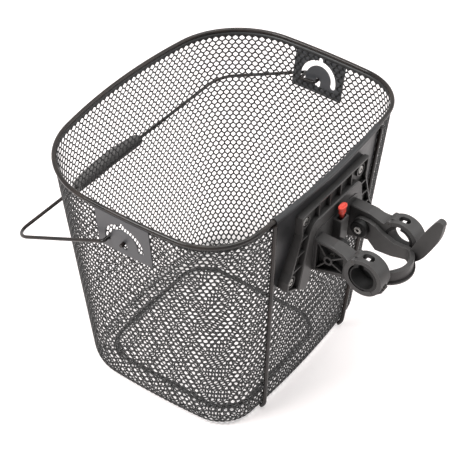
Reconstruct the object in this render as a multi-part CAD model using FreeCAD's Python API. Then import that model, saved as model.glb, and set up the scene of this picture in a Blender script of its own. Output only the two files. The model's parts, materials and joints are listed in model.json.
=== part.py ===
"""Quick-release handlebar basket: a tapered mesh basket with a bail handle,
an adapter on its rear wall, and the clamp bracket that stays on a handlebar.

Frame, in millimetres: +Z up, +X to the rider's right along the handlebar, +Y
forward (away from the rider). The origin is on the ground under the middle of
the rim. The bracket is at -Y, and the bail lies folded at +Y.
"""
import FreeCAD, Part
import math
import os

V = FreeCAD.Vector
X_AXIS = V(1, 0, 0)
Y_AXIS = V(0, 1, 0)
Z_AXIS = V(0, 0, 1)

# ---------------------------------------------------------------- basket sizes
RIM_HALF_WIDTH = 175.0        # centre line of the rim, at the middle of each side
RIM_FRONT = 131.0             # centre line, forward
RIM_REAR = 131.0              # centre line, towards the rider
RIM_HEIGHT = 279.0
RIM_WIRE_R = 2.4
RIM_FRONT_CORNER_R = 92.0
RIM_REAR_CORNER_R = 60.0

FLOOR_HALF_WIDTH = 137.0
FLOOR_FRONT = 102.0
FLOOR_REAR = 119.0
FLOOR_FRONT_CORNER_R = 62.0
FLOOR_REAR_CORNER_R = 42.0

FRONT_BOW_R = 620.0           # the sides aren't straight, each is a wide arc
REAR_BOW_R = 1100.0
SIDE_BOW_R = 900.0
BEYOND = 300.0                # farther out than any wall

MESH_T = 1.5
GRID_ROUND = 24               # openings of the wall's plain grid, once round
GRID_ROWS = 6
GRID_LOW = 24.0               # ground to the grid's lowest opening
GRID_TOP = 17.0               # rim to the grid's highest opening
GRID_BAND = 6.5               # left between two openings
GRID_REACH = 30.0             # an opening's cutter, each way through the wall
GRID_EAR_MARGIN = 14.0        # solid wall kept around an ear
GRID_PLATE_MARGIN = 8.0       # solid wall kept under the backing plate
FLOOR_GRID = 4                # openings each way in the floor panel
BEND_R = 14.0                 # outside radius where the walls turn into the floor
SEAM_INSET = 27.0             # floor panel's edge, from the front and left edges
SEAM_INSET_RIGHT = 68.0       # the overlap is wide on the right
SEAM_INSET_REAR = 20.0
SEAM_WIDTH = 5.0
SEAM_T = 1.2
SEAM_CORNER_R = 34.0

ROD_R = 2.4
ROD_GAP = 0.05                # rod to mesh
ROD_X_AT_RIM = 97.0
ROD_FOOT_TURN = 40.0          # degrees that a rod follows the bend at its foot

SHEET_T = 1.2                 # backing plate
HEM_T = 1.0                   # the plate's rolled edge around the rim
RIM_GAP = 0.3                 # the rolled edge to the rim
PLATE_SIDE_GAP = 0.5          # between the plate and each rod
PLATE_BOTTOM = RIM_HEIGHT - 96.0

# ------------------------------------------------------------ ears and the bail
EAR_X0 = RIM_HALF_WIDTH - 35.0          # cutters through an ear run between these
EAR_X1 = RIM_HALF_WIDTH + 25.0
EAR_Y = -9.0
EAR_WIDTH = 64.0
EAR_HEIGHT = 49.0             # below the rim's underside
EAR_T = 1.5
EAR_LAP = 4.0                 # the ear laps this far over the mesh
PIVOT_BELOW_RIM = 35.0
PIVOT_HOLE_R = 2.3
PIVOT_WINDOW_R = 3.5          # the window under the pivot, round at its foot
PIVOT_WINDOW_DROP = 5.5       # pivot to the middle of that round
SLOT_MID_R = 19.5
SLOT_HALF_WIDTH = 3.3
SLOT_END_ANGLE = -6.0         # degrees below level, to each end of the slot
SLOT_NOTCH_R = 2.6

BAIL_WIRE_R = 1.9
BAIL_PAST_RIM = 11.5          # cross bar beyond the rim, when level
BAIL_REACH = RIM_FRONT - EAR_Y + BAIL_PAST_RIM
BAIL_REST_ANGLE = 23.0        # degrees below level, forward
BAIL_CORNER_R = 22.0
BAIL_OUTSIDE = 8.2            # leg outside the ear at the pivot's height
BAIL_INSIDE = 7.0             # hooked end inside the ear
BAIL_STUB = 5.0               # end of the wire beyond the ear's outer face
BAIL_BEND_R = 3.0
GRIP_CENTRE_X = -27.0
GRIP_LENGTH = 104.0
GRIP_R = 8.2
GRIP_RISE = 4.8

# -------------------------------------------------------------------- adapter
ADAPTER_FLANGE_Y = -134.0     # front face of the flange
ADAPTER_FACE_Y = -141.0       # front face of the raised U
THROUGH_FROM = ADAPTER_FACE_Y - 20.0    # cutters through the rear wall run between these
THROUGH_TO = ADAPTER_FACE_Y + 50.0
FLANGE_TOP = (62.0, RIM_HEIGHT - 13.0)    # half width and height, down the flange's edge
FLANGE_SHOULDER = (60.0, RIM_HEIGHT - 36.0)
FLANGE_HIP = (74.0, RIM_HEIGHT - 77.0)
FLANGE_CORNER = (80.0, RIM_HEIGHT - 85.0)
FLANGE_LOW_CORNER = (80.0, RIM_HEIGHT - 96.0)
U_TOP = (46.0, RIM_HEIGHT - 30.5)
U_LOW_OUTER = (63.0, RIM_HEIGHT - 104.0)
U_LOW_INNER = (48.0, RIM_HEIGHT - 114.0)
CHANNEL_HALF_WIDTH = 41.5
CHANNEL_TOP = RIM_HEIGHT - 43.0
CHANNEL_FLARE_Z = RIM_HEIGHT - 96.0       # below here the legs spread to guide the bracket in
U_TOP_R = 14.0
CHANNEL_TOP_R = 9.0
GROOVE_DEPTH = 2.2
GROOVE_WIDTH = 2.6
BACK_OPENING_TOP = RIM_HEIGHT - 87.0      # between the legs the wall shows below here
ADAPTER_SCREWS = ((51.0, RIM_HEIGHT - 25.0), (71.0, RIM_HEIGHT - 90.0))
ADAPTER_SCREW_R = 2.5
SCREW_HEAD_R = 4.6
SCREW_HEAD_H = 2.6
SCREW_BOSS_R = 7.6
SCREW_BOSS_H = 2.4
WASHER_R = 9.0
WASHER_T = 1.2
NUT_ACROSS = 8.0
NUT_H = 4.0
LIP_T = 1.8                   # wall along the flange's edge
LIP_H = 4.6
RIB_T = 1.6
RIB_COUNT_TOP = 4
RIB_PITCH_TOP = 20.0
RIB_COUNT_SIDE = 3
RIB_PITCH_SIDE = 17.0
RIB_FIRST_Z = RIM_HEIGHT - 77.0

# ------------------------------------------------------------- handlebar bracket
SLIDE_CLEARANCE = 0.3
BODY_FRONT_Y = -141.6
BODY_BOTTOM = RIM_HEIGHT - 92.0
BOSS_HALF_WIDTH = 7.5         # block between the arms that holds the button
BOSS_FRONT_Y = -151.5
BOSS_BOTTOM = RIM_HEIGHT - 76.0
ARM_INNER_X = 26.0
ARM_WIDTH = 18.0              # at the clamp
ARM_ROOT_WIDTH = 14.5
BAR_Y = -199.6                # the handlebar's axis
BAR_Z = RIM_HEIGHT - 69.0
SEAT_R = 15.9                 # 31.8 mm bar, without the spacers
SPACER_T = 3.2
BAR_R = SEAT_R - SPACER_T     # 25.4 mm bar, with the spacers in place
RING_R = SEAT_R + 5.1
ARM_ROOT_TOP = RIM_HEIGHT - 51.5
ARM_ROOT_BOTTOM = RIM_HEIGHT - 91.5
ARM_KNEE_Y = -162.0
ARM_NECK_Y = -180.0
ARM_NECK_TOP = RIM_HEIGHT - 56.4
ARM_NECK_BOTTOM = RIM_HEIGHT - 82.2
ARM_SCREW_R = 2.0
ARM_SCREW_HEAD_R = 4.0
ARM_SCREW_X = 30.5
ARM_SCREW_Z = (RIM_HEIGHT - 81.0, RIM_HEIGHT - 60.0)
ARM_SCREW_LENGTH = 16.0

CLAMP_TILT = 42.0             # degrees that the split leans forward at its top
SPLIT_GAP = 0.8
HINGE_UP = RING_R - 1.6       # hinge pin above the bar's axis, along the split
KNUCKLE_R = 3.3
HINGE_PIN_R = 1.2
CHEEK = 4.6
LUG_BELOW_RING = 0.8
LUG_HALF_WIDTH = 6.0
LUG_DEPTH = 9.0
CLAMP_BOLT_R = 1.5
CLAMP_BOLT_HEAD_R = 2.8
CLAMP_BOLT_HEAD_H = 3.0
CLAMP_NUT_ACROSS = 5.5
CLAMP_NUT_H = 2.4
BOLT_WALL = 1.2               # between the bolt and the seat
OVAL_DROP = 0.6
SPACER_SLIT = (-0.5, 5.5)     # across its top, forward of the bar's axis
GROOVE_AROUND_SPACER = 1.7    # width and depth of the groove at its outer end
GROOVE_IN = 8.0
GROOVE_SPREAD = (4.0, 11.0)   # the groove's ends, rearward and above the bar's axis
WINDOW_LENGTH = 13.0
WINDOW_WIDTH = 8.5
POCKET_DEPTH = 7.0
POCKET_WALL = 3.2
HUB_Y = -158.0
HUB_Z = RIM_HEIGHT - 72.0
HUB_R = 5.0
HUB_BORE_R = 3.0
HUB_BORE_DEPTH = 4.0
FIT = 0.3

PIVOT_Y = -159.5              # stabiliser's pivot
PIVOT_Z = RIM_HEIGHT - 68.0
PIVOT_SCREW_R = 2.5
PIVOT_HEAD_R = 4.0
PIVOT_SOCKET_R = 1.7
PIVOT_SCREW_BITE = 9.0
PAD_R = 9.7
PAD_T = 6.0
BOW_LEG_T = 5.0
BOW_GAP = 0.4
BOW_END_R = 10.0
BOW_LEG_END_Y = -212.0
BOW_APEX_Y = -229.0
# the bow's outlines, as (y, drop below the rim)
BOW_TOP_OUTLINE = [(-167.0, 58.2), (-174.0, 60.0), (-186.5, 66.5), (-197.0, 70.3),
                   (-208.0, 70.3), (-219.0, 67.5)]
BOW_BAR_TOP = RIM_HEIGHT - 67.0
BOW_BAR_BOTTOM = RIM_HEIGHT - 82.0
BOW_LOW_OUTLINE = [(-215.0, 83.0), (-196.0, 88.0), (-178.0, 89.5), (-166.0, 78.4)]
FLANGE_LIP = 2.2
HORN_T = 7.0
HORN_TIP_RISE = 4.0           # round of the tip, past its two corners
HORN_GROOVE_X = (2.6, 5.0)     # between the groove's walls, across the horn
HORN_INNER = [(-213.0, 79.0), (-221.0, 57.0), (-227.5, 42.0), (-233.0, 31.0), (-240.0, 19.5)]
HORN_OUTER = [(-247.5, 24.5), (-244.8, 42.5), (-237.6, 59.5), (-229.0, 74.0), (-222.0, 80.5)]
HORN_GROOVE = [(-252.0, 38.0), (-242.4, 62.0), (-233.0, 76.0), (-228.6, 71.0), (-235.0, 59.0),
               (-241.0, 37.0)]

BUTTON_TRAVEL = 4.0
BUTTON_HALF_WIDTH = 6.5
BUTTON_FORWARD = 5.4          # middle of the button, in front of the body
BUTTON_TOP = RIM_HEIGHT - 32.5
BUTTON_UNDER = RIM_HEIGHT - 42.0
BOSS_TOP = BUTTON_UNDER - BUTTON_TRAVEL - 1.0
BUTTON_T = 7.0
STEM_HALF_WIDTH = 5.0
STEM_HALF_DEPTH = 2.4
STEM_BOTTOM = RIM_HEIGHT - 55.0
SPRING_BOTTOM = RIM_HEIGHT - 74.0
SPRING_WIRE_R = 0.45
SPRING_R = 1.9
SPRING_TURNS = 6
PAWL_HALF_WIDTH = 9.0
PAWL_BOTTOM = RIM_HEIGHT - 71.0
PAWL_TOP = RIM_HEIGHT - 58.0
PAWL_T = 3.0
PAWL_REACH = 1.6              # the nose, into the adapter's track
PAWL_TRAVEL = 2.4


# ---------------------------------------------------------------- small helpers
def box(x0, x1, y0, y1, z0, z1):
    """Box between two corners."""
    return Part.makeBox(x1 - x0, y1 - y0, z1 - z0, V(x0, y0, z0))


def cylinder(radius, start, end):
    """Cylinder of a radius between two points."""
    start, end = V(start), V(end)
    return Part.makeCylinder(radius, (end - start).Length, start, end - start)


def fuse(shapes):
    """One clean solid from several that touch."""
    first, rest = shapes[0], shapes[1:]
    return first.fuse(rest).removeSplitter() if rest else first


def mirrored(shape):
    """The same shape on the other side of the middle plane."""
    return shape.mirror(V(0, 0, 0), X_AXIS)


def prism_x(points, x0, x1):
    """Polygon of (y, z) points, run along X."""
    wire = Part.makePolygon([V(x0, y, z) for y, z in points + points[:1]])
    return Part.Face(wire).extrude(V(x1 - x0, 0, 0))


def pipe(edges, radius):
    """Round wire along a path of lines and arcs."""
    path = Part.Wire(edges)
    start = path.OrderedEdges[0]
    tangent = start.tangentAt(start.FirstParameter)
    begin = start.valueAt(start.FirstParameter)
    if (begin - path.OrderedVertexes[0].Point).Length > 1e-6:
        begin = start.valueAt(start.LastParameter)
        tangent = start.tangentAt(start.LastParameter) * -1
    ring = Part.Wire(Part.makeCircle(radius, begin, tangent))
    return path.makePipeShell([ring], True, False, 1)


def rounded_path(points, radii):
    """Straight runs through points, with a tangent arc at each inner point."""
    edges = []
    last = V(points[0])
    for index in range(1, len(points) - 1):
        corner = V(points[index])
        back = (V(points[index - 1]) - corner).normalize()
        ahead = (V(points[index + 1]) - corner).normalize()
        half = back.getAngle(ahead) / 2
        reach = radii[index - 1] / math.tan(half)
        enter = corner + back * reach
        leave = corner + ahead * reach
        middle = (back + ahead).normalize()
        centre = corner + middle * (radii[index - 1] / math.sin(half))
        if (enter - last).Length > 1e-6:
            edges.append(Part.LineSegment(last, enter).toShape())
        edges.append(Part.Arc(enter, centre - middle * radii[index - 1], leave).toShape())
        last = leave
    edges.append(Part.LineSegment(last, V(points[-1])).toShape())
    return edges


def below_rim(outline):
    """Points (y, drop below the rim) as (y, z)."""
    return [(y, RIM_HEIGHT - drop) for y, drop in outline]


def smooth_edge(points):
    """Smooth curve through points."""
    curve = Part.BSplineCurve()
    curve.interpolate(points)
    return curve.toShape()


def hexagon_y(across, x, z, y0, y1):
    """Hexagonal bar along Y."""
    reach = across / 2 / math.cos(math.pi / 6)
    points = [V(x + reach * math.cos(math.radians(60 * k)), y0,
                z + reach * math.sin(math.radians(60 * k))) for k in range(7)]
    return Part.Face(Part.makePolygon(points)).extrude(V(0, y1 - y0, 0))


# ---------------------------------------------------------- the basket's outline
class Outline:
    """Closed outline of eight tangent arcs: four bowed sides, four corners."""

    def __init__(self, half_width, front, rear, front_corner, rear_corner, grow=0.0):
        self.front_r = FRONT_BOW_R + grow
        self.rear_r = REAR_BOW_R + grow
        self.side_r = SIDE_BOW_R + grow
        self.front_c = V(0, front + grow - self.front_r, 0)
        self.rear_c = V(0, self.rear_r - rear - grow, 0)
        self.side_c = V(half_width + grow - self.side_r, 0, 0)
        self.front_corner = self.corner(self.front_c, self.front_r, front_corner + grow, 1)
        self.rear_corner = self.corner(self.rear_c, self.rear_r, rear_corner + grow, -1)

    def corner(self, bow_c, bow_r, radius, sign):
        """Centre of a corner arc and where it meets its two neighbours."""
        reach_bow = bow_r - radius
        reach_side = self.side_r - radius
        span = (self.side_c - bow_c).Length
        along = (reach_bow ** 2 - reach_side ** 2 + span ** 2) / (2 * span)
        across = math.sqrt(reach_bow ** 2 - along ** 2)
        unit = (self.side_c - bow_c) / span
        normal = V(-unit.y, unit.x, 0) * sign
        if (bow_c + unit * along + normal * across).x < 0:
            normal = normal * -1
        centre = bow_c + unit * along + normal * across
        on_bow = bow_c + (centre - bow_c).normalize() * bow_r
        on_side = self.side_c + (centre - self.side_c).normalize() * self.side_r
        middle = ((on_bow - centre).normalize() + (on_side - centre).normalize()).normalize()
        return on_bow, centre + middle * radius, on_side

    def wire(self, z):
        """The outline at a height, starting at the middle of the rear side."""
        flip = lambda p: V(-p.x, p.y, 0)
        rear_on_bow, rear_mid, rear_on_side = self.rear_corner
        front_on_bow, front_mid, front_on_side = self.front_corner
        side_mid = self.side_c + V(self.side_r, 0, 0)
        front_mid_side = self.front_c + V(0, self.front_r, 0)
        rear_mid_side = self.rear_c - V(0, self.rear_r, 0)
        arcs = [(rear_on_bow, rear_mid, rear_on_side),
                (rear_on_side, side_mid, front_on_side),
                (front_on_side, front_mid, front_on_bow),
                (front_on_bow, front_mid_side, flip(front_on_bow)),
                (flip(front_on_bow), flip(front_mid), flip(front_on_side)),
                (flip(front_on_side), flip(side_mid), flip(rear_on_side)),
                (flip(rear_on_side), flip(rear_mid), flip(rear_on_bow)),
                (flip(rear_on_bow), rear_mid_side, rear_on_bow)]
        lift = V(0, 0, z)
        return Part.Wire([Part.Arc(a + lift, b + lift, c + lift).toShape() for a, b, c in arcs])

    def rear_point(self, share, z):
        """Point on the rear side, at a share of the way to its corner."""
        end = self.rear_corner[0] - self.rear_c
        angle = math.asin(end.x / self.rear_r) * share
        return self.rear_c + V(self.rear_r * math.sin(angle), -self.rear_r * math.cos(angle), z)


def rim_outline(grow=0.0):
    return Outline(RIM_HALF_WIDTH, RIM_FRONT, RIM_REAR,
                   RIM_FRONT_CORNER_R, RIM_REAR_CORNER_R, grow)


def floor_outline(grow=0.0):
    return Outline(FLOOR_HALF_WIDTH, FLOOR_FRONT, FLOOR_REAR,
                   FLOOR_FRONT_CORNER_R, FLOOR_REAR_CORNER_R, grow)


def basket_block(grow):
    """Solid block of the basket's shape, its walls moved out by grow."""
    return Part.makeLoft([floor_outline(grow).wire(0.0), rim_outline(grow).wire(RIM_HEIGHT)],
                         True, True)


def wall_y(x, z, grow=0.0):
    """Y of the rear wall's outer face at a place on it, moved out by grow."""
    share = z / RIM_HEIGHT
    apex = FLOOR_REAR + (RIM_REAR - FLOOR_REAR) * share + MESH_T / 2 + grow
    return -apex + REAR_BOW_R - math.sqrt(REAR_BOW_R ** 2 - x ** 2)


# ------------------------------------------------------------------ basket parts
def bowl(grow, bottom, bend):
    """Basket block from a height up, with its lower edge rounded."""
    block = basket_block(grow).common(box(-BEYOND, BEYOND, -BEYOND, BEYOND, bottom, RIM_HEIGHT))
    low_edges = [e for e in block.Edges if e.BoundBox.ZMax < bottom + 0.01]
    return block.makeFillet(bend, low_edges)


def mesh_shell():
    """Walls and floor in one, open at the top, standing on the ground."""
    half = MESH_T / 2
    shell = bowl(half, 0.0, BEND_R).cut(bowl(-half, MESH_T, BEND_R - MESH_T))
    return shell.common(box(-BEYOND, BEYOND, -BEYOND, BEYOND, 0, RIM_HEIGHT - RIM_WIRE_R))


def seam_wire(grow, z):
    """Edge of the floor panel: a rounded rectangle."""
    x0 = -FLOOR_HALF_WIDTH + SEAM_INSET - grow
    x1 = FLOOR_HALF_WIDTH - SEAM_INSET_RIGHT + grow
    y0 = -FLOOR_REAR + SEAM_INSET_REAR - grow
    y1 = FLOOR_FRONT - SEAM_INSET + grow
    radius = SEAM_CORNER_R + grow
    corners = [V(x0, y0, z), V(x1, y0, z), V(x1, y1, z), V(x0, y1, z)]
    start = (corners[3] + corners[0]) / 2
    edges = rounded_path([start] + corners + [start], [radius] * 4)
    return Part.Wire(edges)


def floor_prism(grow, z0, z1):
    return Part.Face(seam_wire(grow, z0)).extrude(V(0, 0, z1 - z0))


def spans(low, high, count):
    """Ends of equal openings between two places, with a band left around each."""
    pitch = (high - low) / count
    return [(low + pitch * k + GRID_BAND / 2, low + pitch * (k + 1) - GRID_BAND / 2)
            for k in range(count)]


def keeps_wall(place, low, high):
    """True where the ears or the adapter need the wall whole."""
    plate_half = ROD_X_AT_RIM + ROD_R
    behind_plate = abs(place.x) < plate_half and place.y < 0 and high > PLATE_BOTTOM - GRID_PLATE_MARGIN
    ear_low = RIM_HEIGHT - RIM_WIRE_R - EAR_HEIGHT
    ear_half = EAR_WIDTH / 2 + GRID_EAR_MARGIN
    behind_ear = abs(place.y - EAR_Y) < ear_half and high > ear_low
    return behind_plate or behind_ear


def wall_openings():
    """Plain grid of openings round the walls, a coarse stand-in for the fine mesh."""
    half_round = Outline((RIM_HALF_WIDTH + FLOOR_HALF_WIDTH) / 2, (RIM_FRONT + FLOOR_FRONT) / 2,
                         (RIM_REAR + FLOOR_REAR) / 2, (RIM_FRONT_CORNER_R + FLOOR_FRONT_CORNER_R) / 2,
                         (RIM_REAR_CORNER_R + FLOOR_REAR_CORNER_R) / 2)
    path = half_round.wire(0.0)
    places = path.discretize(Number=2 * GRID_ROUND + 1)
    half = (path.Length / GRID_ROUND - GRID_BAND) / 2
    tools = []
    for k in range(1, 2 * GRID_ROUND, 2):
        place = places[k]
        along = places[k + 1] - places[k - 1]
        turn = math.degrees(math.atan2(along.y, along.x))
        for low, high in spans(GRID_LOW, RIM_HEIGHT - GRID_TOP, GRID_ROWS):
            if keeps_wall(place, low, high):
                continue
            tool = box(-half, half, -GRID_REACH, GRID_REACH, low, high)
            tool.rotate(V(0, 0, 0), Z_AXIS, turn)
            tool.translate(place)
            tools.append(tool)
    return tools


def floor_openings():
    """Plain grid of openings in the floor panel."""
    edge = SEAM_WIDTH / 2
    across = spans(-FLOOR_HALF_WIDTH + SEAM_INSET + edge, FLOOR_HALF_WIDTH - SEAM_INSET_RIGHT - edge,
                   FLOOR_GRID)
    along = spans(-FLOOR_REAR + SEAM_INSET_REAR + edge, FLOOR_FRONT - SEAM_INSET - edge, FLOOR_GRID)
    corners = [(0, 0), (0, FLOOR_GRID - 1), (FLOOR_GRID - 1, 0), (FLOOR_GRID - 1, FLOOR_GRID - 1)]
    return [box(*across[i], *along[j], -1, MESH_T + 1)
            for i in range(FLOOR_GRID) for j in range(FLOOR_GRID) if (i, j) not in corners]


def basket_mesh():
    """Wall sheet with its folded-in edge, the floor panel, and their seam."""
    shell = mesh_shell()
    panel_space = floor_prism(0.0, -1.0, MESH_T + 1.0)
    walls = shell.cut(panel_space)
    for side in (-1, 1):
        walls = walls.cut(ear_window(side))
    for x, z in adapter_screw_places():
        walls = walls.cut(screw_bore(x, z))
    walls = walls.cut(wall_openings())
    floor = shell.common(panel_space).cut(floor_openings())
    seam = floor_prism(SEAM_WIDTH / 2, MESH_T, MESH_T + SEAM_T)
    seam = seam.cut(floor_prism(-SEAM_WIDTH / 2, MESH_T, MESH_T + SEAM_T))
    return walls, floor, seam


def rim_wire(radius=RIM_WIRE_R):
    """Rim: one round wire bent to the outline."""
    path = rim_outline().wire(RIM_HEIGHT)
    start = path.OrderedVertexes[0].Point
    first = path.OrderedEdges[0]
    ring = Part.Wire(Part.makeCircle(radius, start, first.tangentAt(first.FirstParameter)))
    return path.makePipeShell([ring], True, False, 1)


def rod_line():
    """Top end and downward direction of the right rod's centre line."""
    away = MESH_T / 2 + ROD_R + ROD_GAP
    share = ROD_X_AT_RIM / rim_outline().rear_corner[0].x
    top = rim_outline(away).rear_point(share, RIM_HEIGHT - RIM_WIRE_R)
    low = floor_outline(away).rear_point(share, 0.0)
    return top, (low - top).normalize()


def rear_rod():
    """Right rod: down the outside of the rear wall, curled in under the bend."""
    top, down = rod_line()
    radius = BEND_R + ROD_R + ROD_GAP
    straight_end = top + down * ((top.z - BEND_R + radius * down.y) / -down.z)
    inward = V(0, 1, 0)
    inward = (inward - down * inward.dot(down)).normalize()
    centre = straight_end + inward * radius
    turn = math.radians(ROD_FOOT_TURN)
    mid = centre + (down * math.sin(turn / 2) - inward * math.cos(turn / 2)) * radius
    end = centre + (down * math.sin(turn) - inward * math.cos(turn)) * radius
    return pipe([Part.LineSegment(top, straight_end).toShape(),
                 Part.Arc(straight_end, mid, end).toShape()], ROD_R)


def backing_plate():
    """Sheet behind the adapter, rolled over the rim between the rods."""
    inside = MESH_T / 2
    outer = basket_block(inside + SHEET_T)
    inner = basket_block(inside)
    top, down = rod_line()
    low_half = top.x + down.x * (top.z - PLATE_BOTTOM) / -down.z - ROD_R - PLATE_SIDE_GAP
    top_half = top.x - ROD_R - PLATE_SIDE_GAP
    window = plate_xz([(top_half, top.z), (low_half, PLATE_BOTTOM)], THROUGH_FROM, THROUGH_TO)
    sheet = outer.cut(inner).common(window)
    arc_r = REAR_BOW_R
    centre = rim_outline().rear_c
    half_angle = math.asin(top_half / arc_r)
    start = centre + V(-arc_r * math.sin(half_angle), -arc_r * math.cos(half_angle), RIM_HEIGHT)
    middle = centre + V(0, -arc_r, RIM_HEIGHT)
    end = V(-start.x, start.y, start.z)
    arc = Part.Arc(start, middle, end).toShape()
    path = Part.Wire([arc])
    tangent = arc.tangentAt(arc.FirstParameter)
    ring = Part.Wire(Part.makeCircle(RIM_WIRE_R + HEM_T, start, tangent))
    hem = path.makePipeShell([ring], True, False, 1)
    mesh_space = basket_block(inside).cut(basket_block(-inside))
    hem = hem.cut(mesh_space)
    plate = sheet.fuse(hem).removeSplitter()
    plate = plate.cut(rim_wire(RIM_WIRE_R + RIM_GAP))
    for x, z in adapter_screw_places():
        plate = plate.cut(screw_bore(x, z))
    return max(plate.Solids, key=lambda s: s.Volume)


# ----------------------------------------------------------------- ears and bail
def pivot_z():
    return RIM_HEIGHT - PIVOT_BELOW_RIM


def side_x(z, grow=0.0):
    """X of the right wall's outer face at a height, moved out by grow."""
    share = z / RIM_HEIGHT
    return FLOOR_HALF_WIDTH + (RIM_HALF_WIDTH - FLOOR_HALF_WIDTH) * share + MESH_T / 2 + grow


def side_slab(t0, t1, y0, y1, z0, z1):
    """Slab that follows the right wall, from t0 to t1 outside its outer face."""
    block = basket_block(MESH_T / 2 + t1).cut(basket_block(MESH_T / 2 + t0))
    return block.common(box(EAR_X0, EAR_X1, y0, y1, z0, z1))


def ear_window(side):
    """Opening in the mesh behind an ear."""
    half = EAR_WIDTH / 2 - EAR_LAP
    top = RIM_HEIGHT - RIM_WIRE_R - EAR_LAP
    bottom = RIM_HEIGHT - RIM_WIRE_R - EAR_HEIGHT + EAR_LAP
    window = box(EAR_X0, EAR_X1, EAR_Y - half, EAR_Y + half, bottom, top)
    return window if side > 0 else mirrored(window)


def slot_cutter():
    """Arched slot about the pivot, with the notch that holds the bail upright."""
    z = pivot_z()
    x0, x1 = EAR_X0, EAR_X1
    tool = []
    end = math.radians(SLOT_END_ANGLE)
    outer = Part.makeCylinder(SLOT_MID_R + SLOT_HALF_WIDTH, x1 - x0, V(x0, EAR_Y, z), X_AXIS)
    inner = Part.makeCylinder(SLOT_MID_R - SLOT_HALF_WIDTH, x1 - x0, V(x0, EAR_Y, z), X_AXIS)
    ring = outer.cut(inner)
    reach = 60.0
    y_out = reach * math.cos(end)
    z_out = reach * math.sin(end)
    below = prism_x([(EAR_Y, z), (EAR_Y + y_out, z + z_out), (EAR_Y + y_out, z - reach),
                     (EAR_Y - y_out, z - reach), (EAR_Y - y_out, z + z_out)], x0, x1)
    tool.append(ring.cut(below))
    for side in (-1, 1):
        y = EAR_Y + side * SLOT_MID_R * math.cos(end)
        ze = z + SLOT_MID_R * math.sin(end)
        tool.append(Part.makeCylinder(SLOT_HALF_WIDTH, x1 - x0, V(x0, y, ze), X_AXIS))
    notch_z = z + SLOT_MID_R + SLOT_HALF_WIDTH + 1.2
    tool.append(Part.makeCylinder(SLOT_NOTCH_R, x1 - x0, V(x0, EAR_Y, notch_z), X_AXIS))
    return fuse(tool)


def ear_plate():
    """Right ear: a flat sheet on the wall with its slot and pivot hole."""
    top = RIM_HEIGHT - RIM_WIRE_R
    plate = side_slab(0.0, EAR_T, EAR_Y - EAR_WIDTH / 2, EAR_Y + EAR_WIDTH / 2,
                      top - EAR_HEIGHT, top)
    plate = plate.cut(rim_wire())
    plate = plate.cut(slot_cutter())
    return plate.cut(pivot_window())


def pivot_window():
    """Pivot hole of an ear, with the round-footed window that opens under it."""
    x0, x1 = EAR_X0, EAR_X1
    z = pivot_z()
    foot = z - PIVOT_WINDOW_DROP
    hole = cylinder(PIVOT_HOLE_R, V(x0, EAR_Y, z), V(x1, EAR_Y, z))
    round_foot = cylinder(PIVOT_WINDOW_R, V(x0, EAR_Y, foot), V(x1, EAR_Y, foot))
    between = box(x0, x1, EAR_Y - PIVOT_WINDOW_R, EAR_Y + PIVOT_WINDOW_R, foot, z - BAIL_WIRE_R / 2)
    return fuse([hole, round_foot, between])


def bail_point(radius, angle, x):
    """Point at a radius from the pivot, at an angle below level, forward."""
    turn = math.radians(angle)
    return V(x, EAR_Y + radius * math.cos(turn), pivot_z() - radius * math.sin(turn))


def bail_wire():
    """Bail: cross bar, two legs, and ends that hook in through the slots."""
    ear_x = side_x(pivot_z()) + EAR_T / 2
    leg_x = ear_x + BAIL_OUTSIDE
    hook_x = ear_x - BAIL_INSIDE
    stub_x = ear_x + EAR_T / 2 + BAIL_STUB
    slot_angle = SLOT_END_ANGLE * -1
    bend = BAIL_BEND_R
    centre = V(0, EAR_Y, pivot_z())
    half = [V(stub_x, centre.y, centre.z),
            V(hook_x, centre.y, centre.z),
            bail_point(SLOT_MID_R, slot_angle, hook_x),
            bail_point(SLOT_MID_R, slot_angle, leg_x),
            bail_point(BAIL_REACH, BAIL_REST_ANGLE, leg_x)]
    other = [V(-p.x, p.y, p.z) for p in reversed(half)]
    radii = [bend, bend, bend, BAIL_CORNER_R]
    edges = rounded_path(half + other, radii + list(reversed(radii)))
    return pipe(edges, BAIL_WIRE_R)


def grip_section(x, radius, lift):
    """Round of the grip at a place along the cross bar."""
    bar = bail_point(BAIL_REACH, BAIL_REST_ANGLE, x)
    away = (bail_point(BAIL_REACH + 1, BAIL_REST_ANGLE, x) - bar).normalize()
    return Part.Wire(Part.makeCircle(radius, bar + away * lift, X_AXIS))


def bail_grip():
    """Arched plastic grip, tight on the cross bar."""
    sections = []
    steps = 8
    for k in range(steps + 1):
        share = 2.0 * k / steps - 1.0
        x = GRIP_CENTRE_X + share * GRIP_LENGTH / 2
        lift = GRIP_RISE * (1 - share ** 2)
        radius = GRIP_R * (1 - 0.22 * abs(share) ** 3)
        sections.append(grip_section(x, radius, lift))
    body = Part.makeLoft(sections, True, False)
    bar = bail_point(BAIL_REACH, BAIL_REST_ANGLE, GRIP_CENTRE_X)
    half = GRIP_LENGTH / 2 + 5
    bore = cylinder(BAIL_WIRE_R, bar - V(half, 0, 0), bar + V(half, 0, 0))
    return body.cut(bore)


# ----------------------------------------------------------------------- adapter
def adapter_screw_places():
    return [(side * x, z) for side in (-1, 1) for x, z in ADAPTER_SCREWS]


def rounded_plate(x0, x1, y0, y1, z0, z1, radius):
    """Plate in the X-Z plane with rounded corners."""
    plate = box(x0, x1, y0, y1, z0, z1)
    edges = [e for e in plate.Edges if e.BoundBox.YLength > 0.5 * (y1 - y0)]
    return plate.makeFillet(radius, edges)


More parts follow.
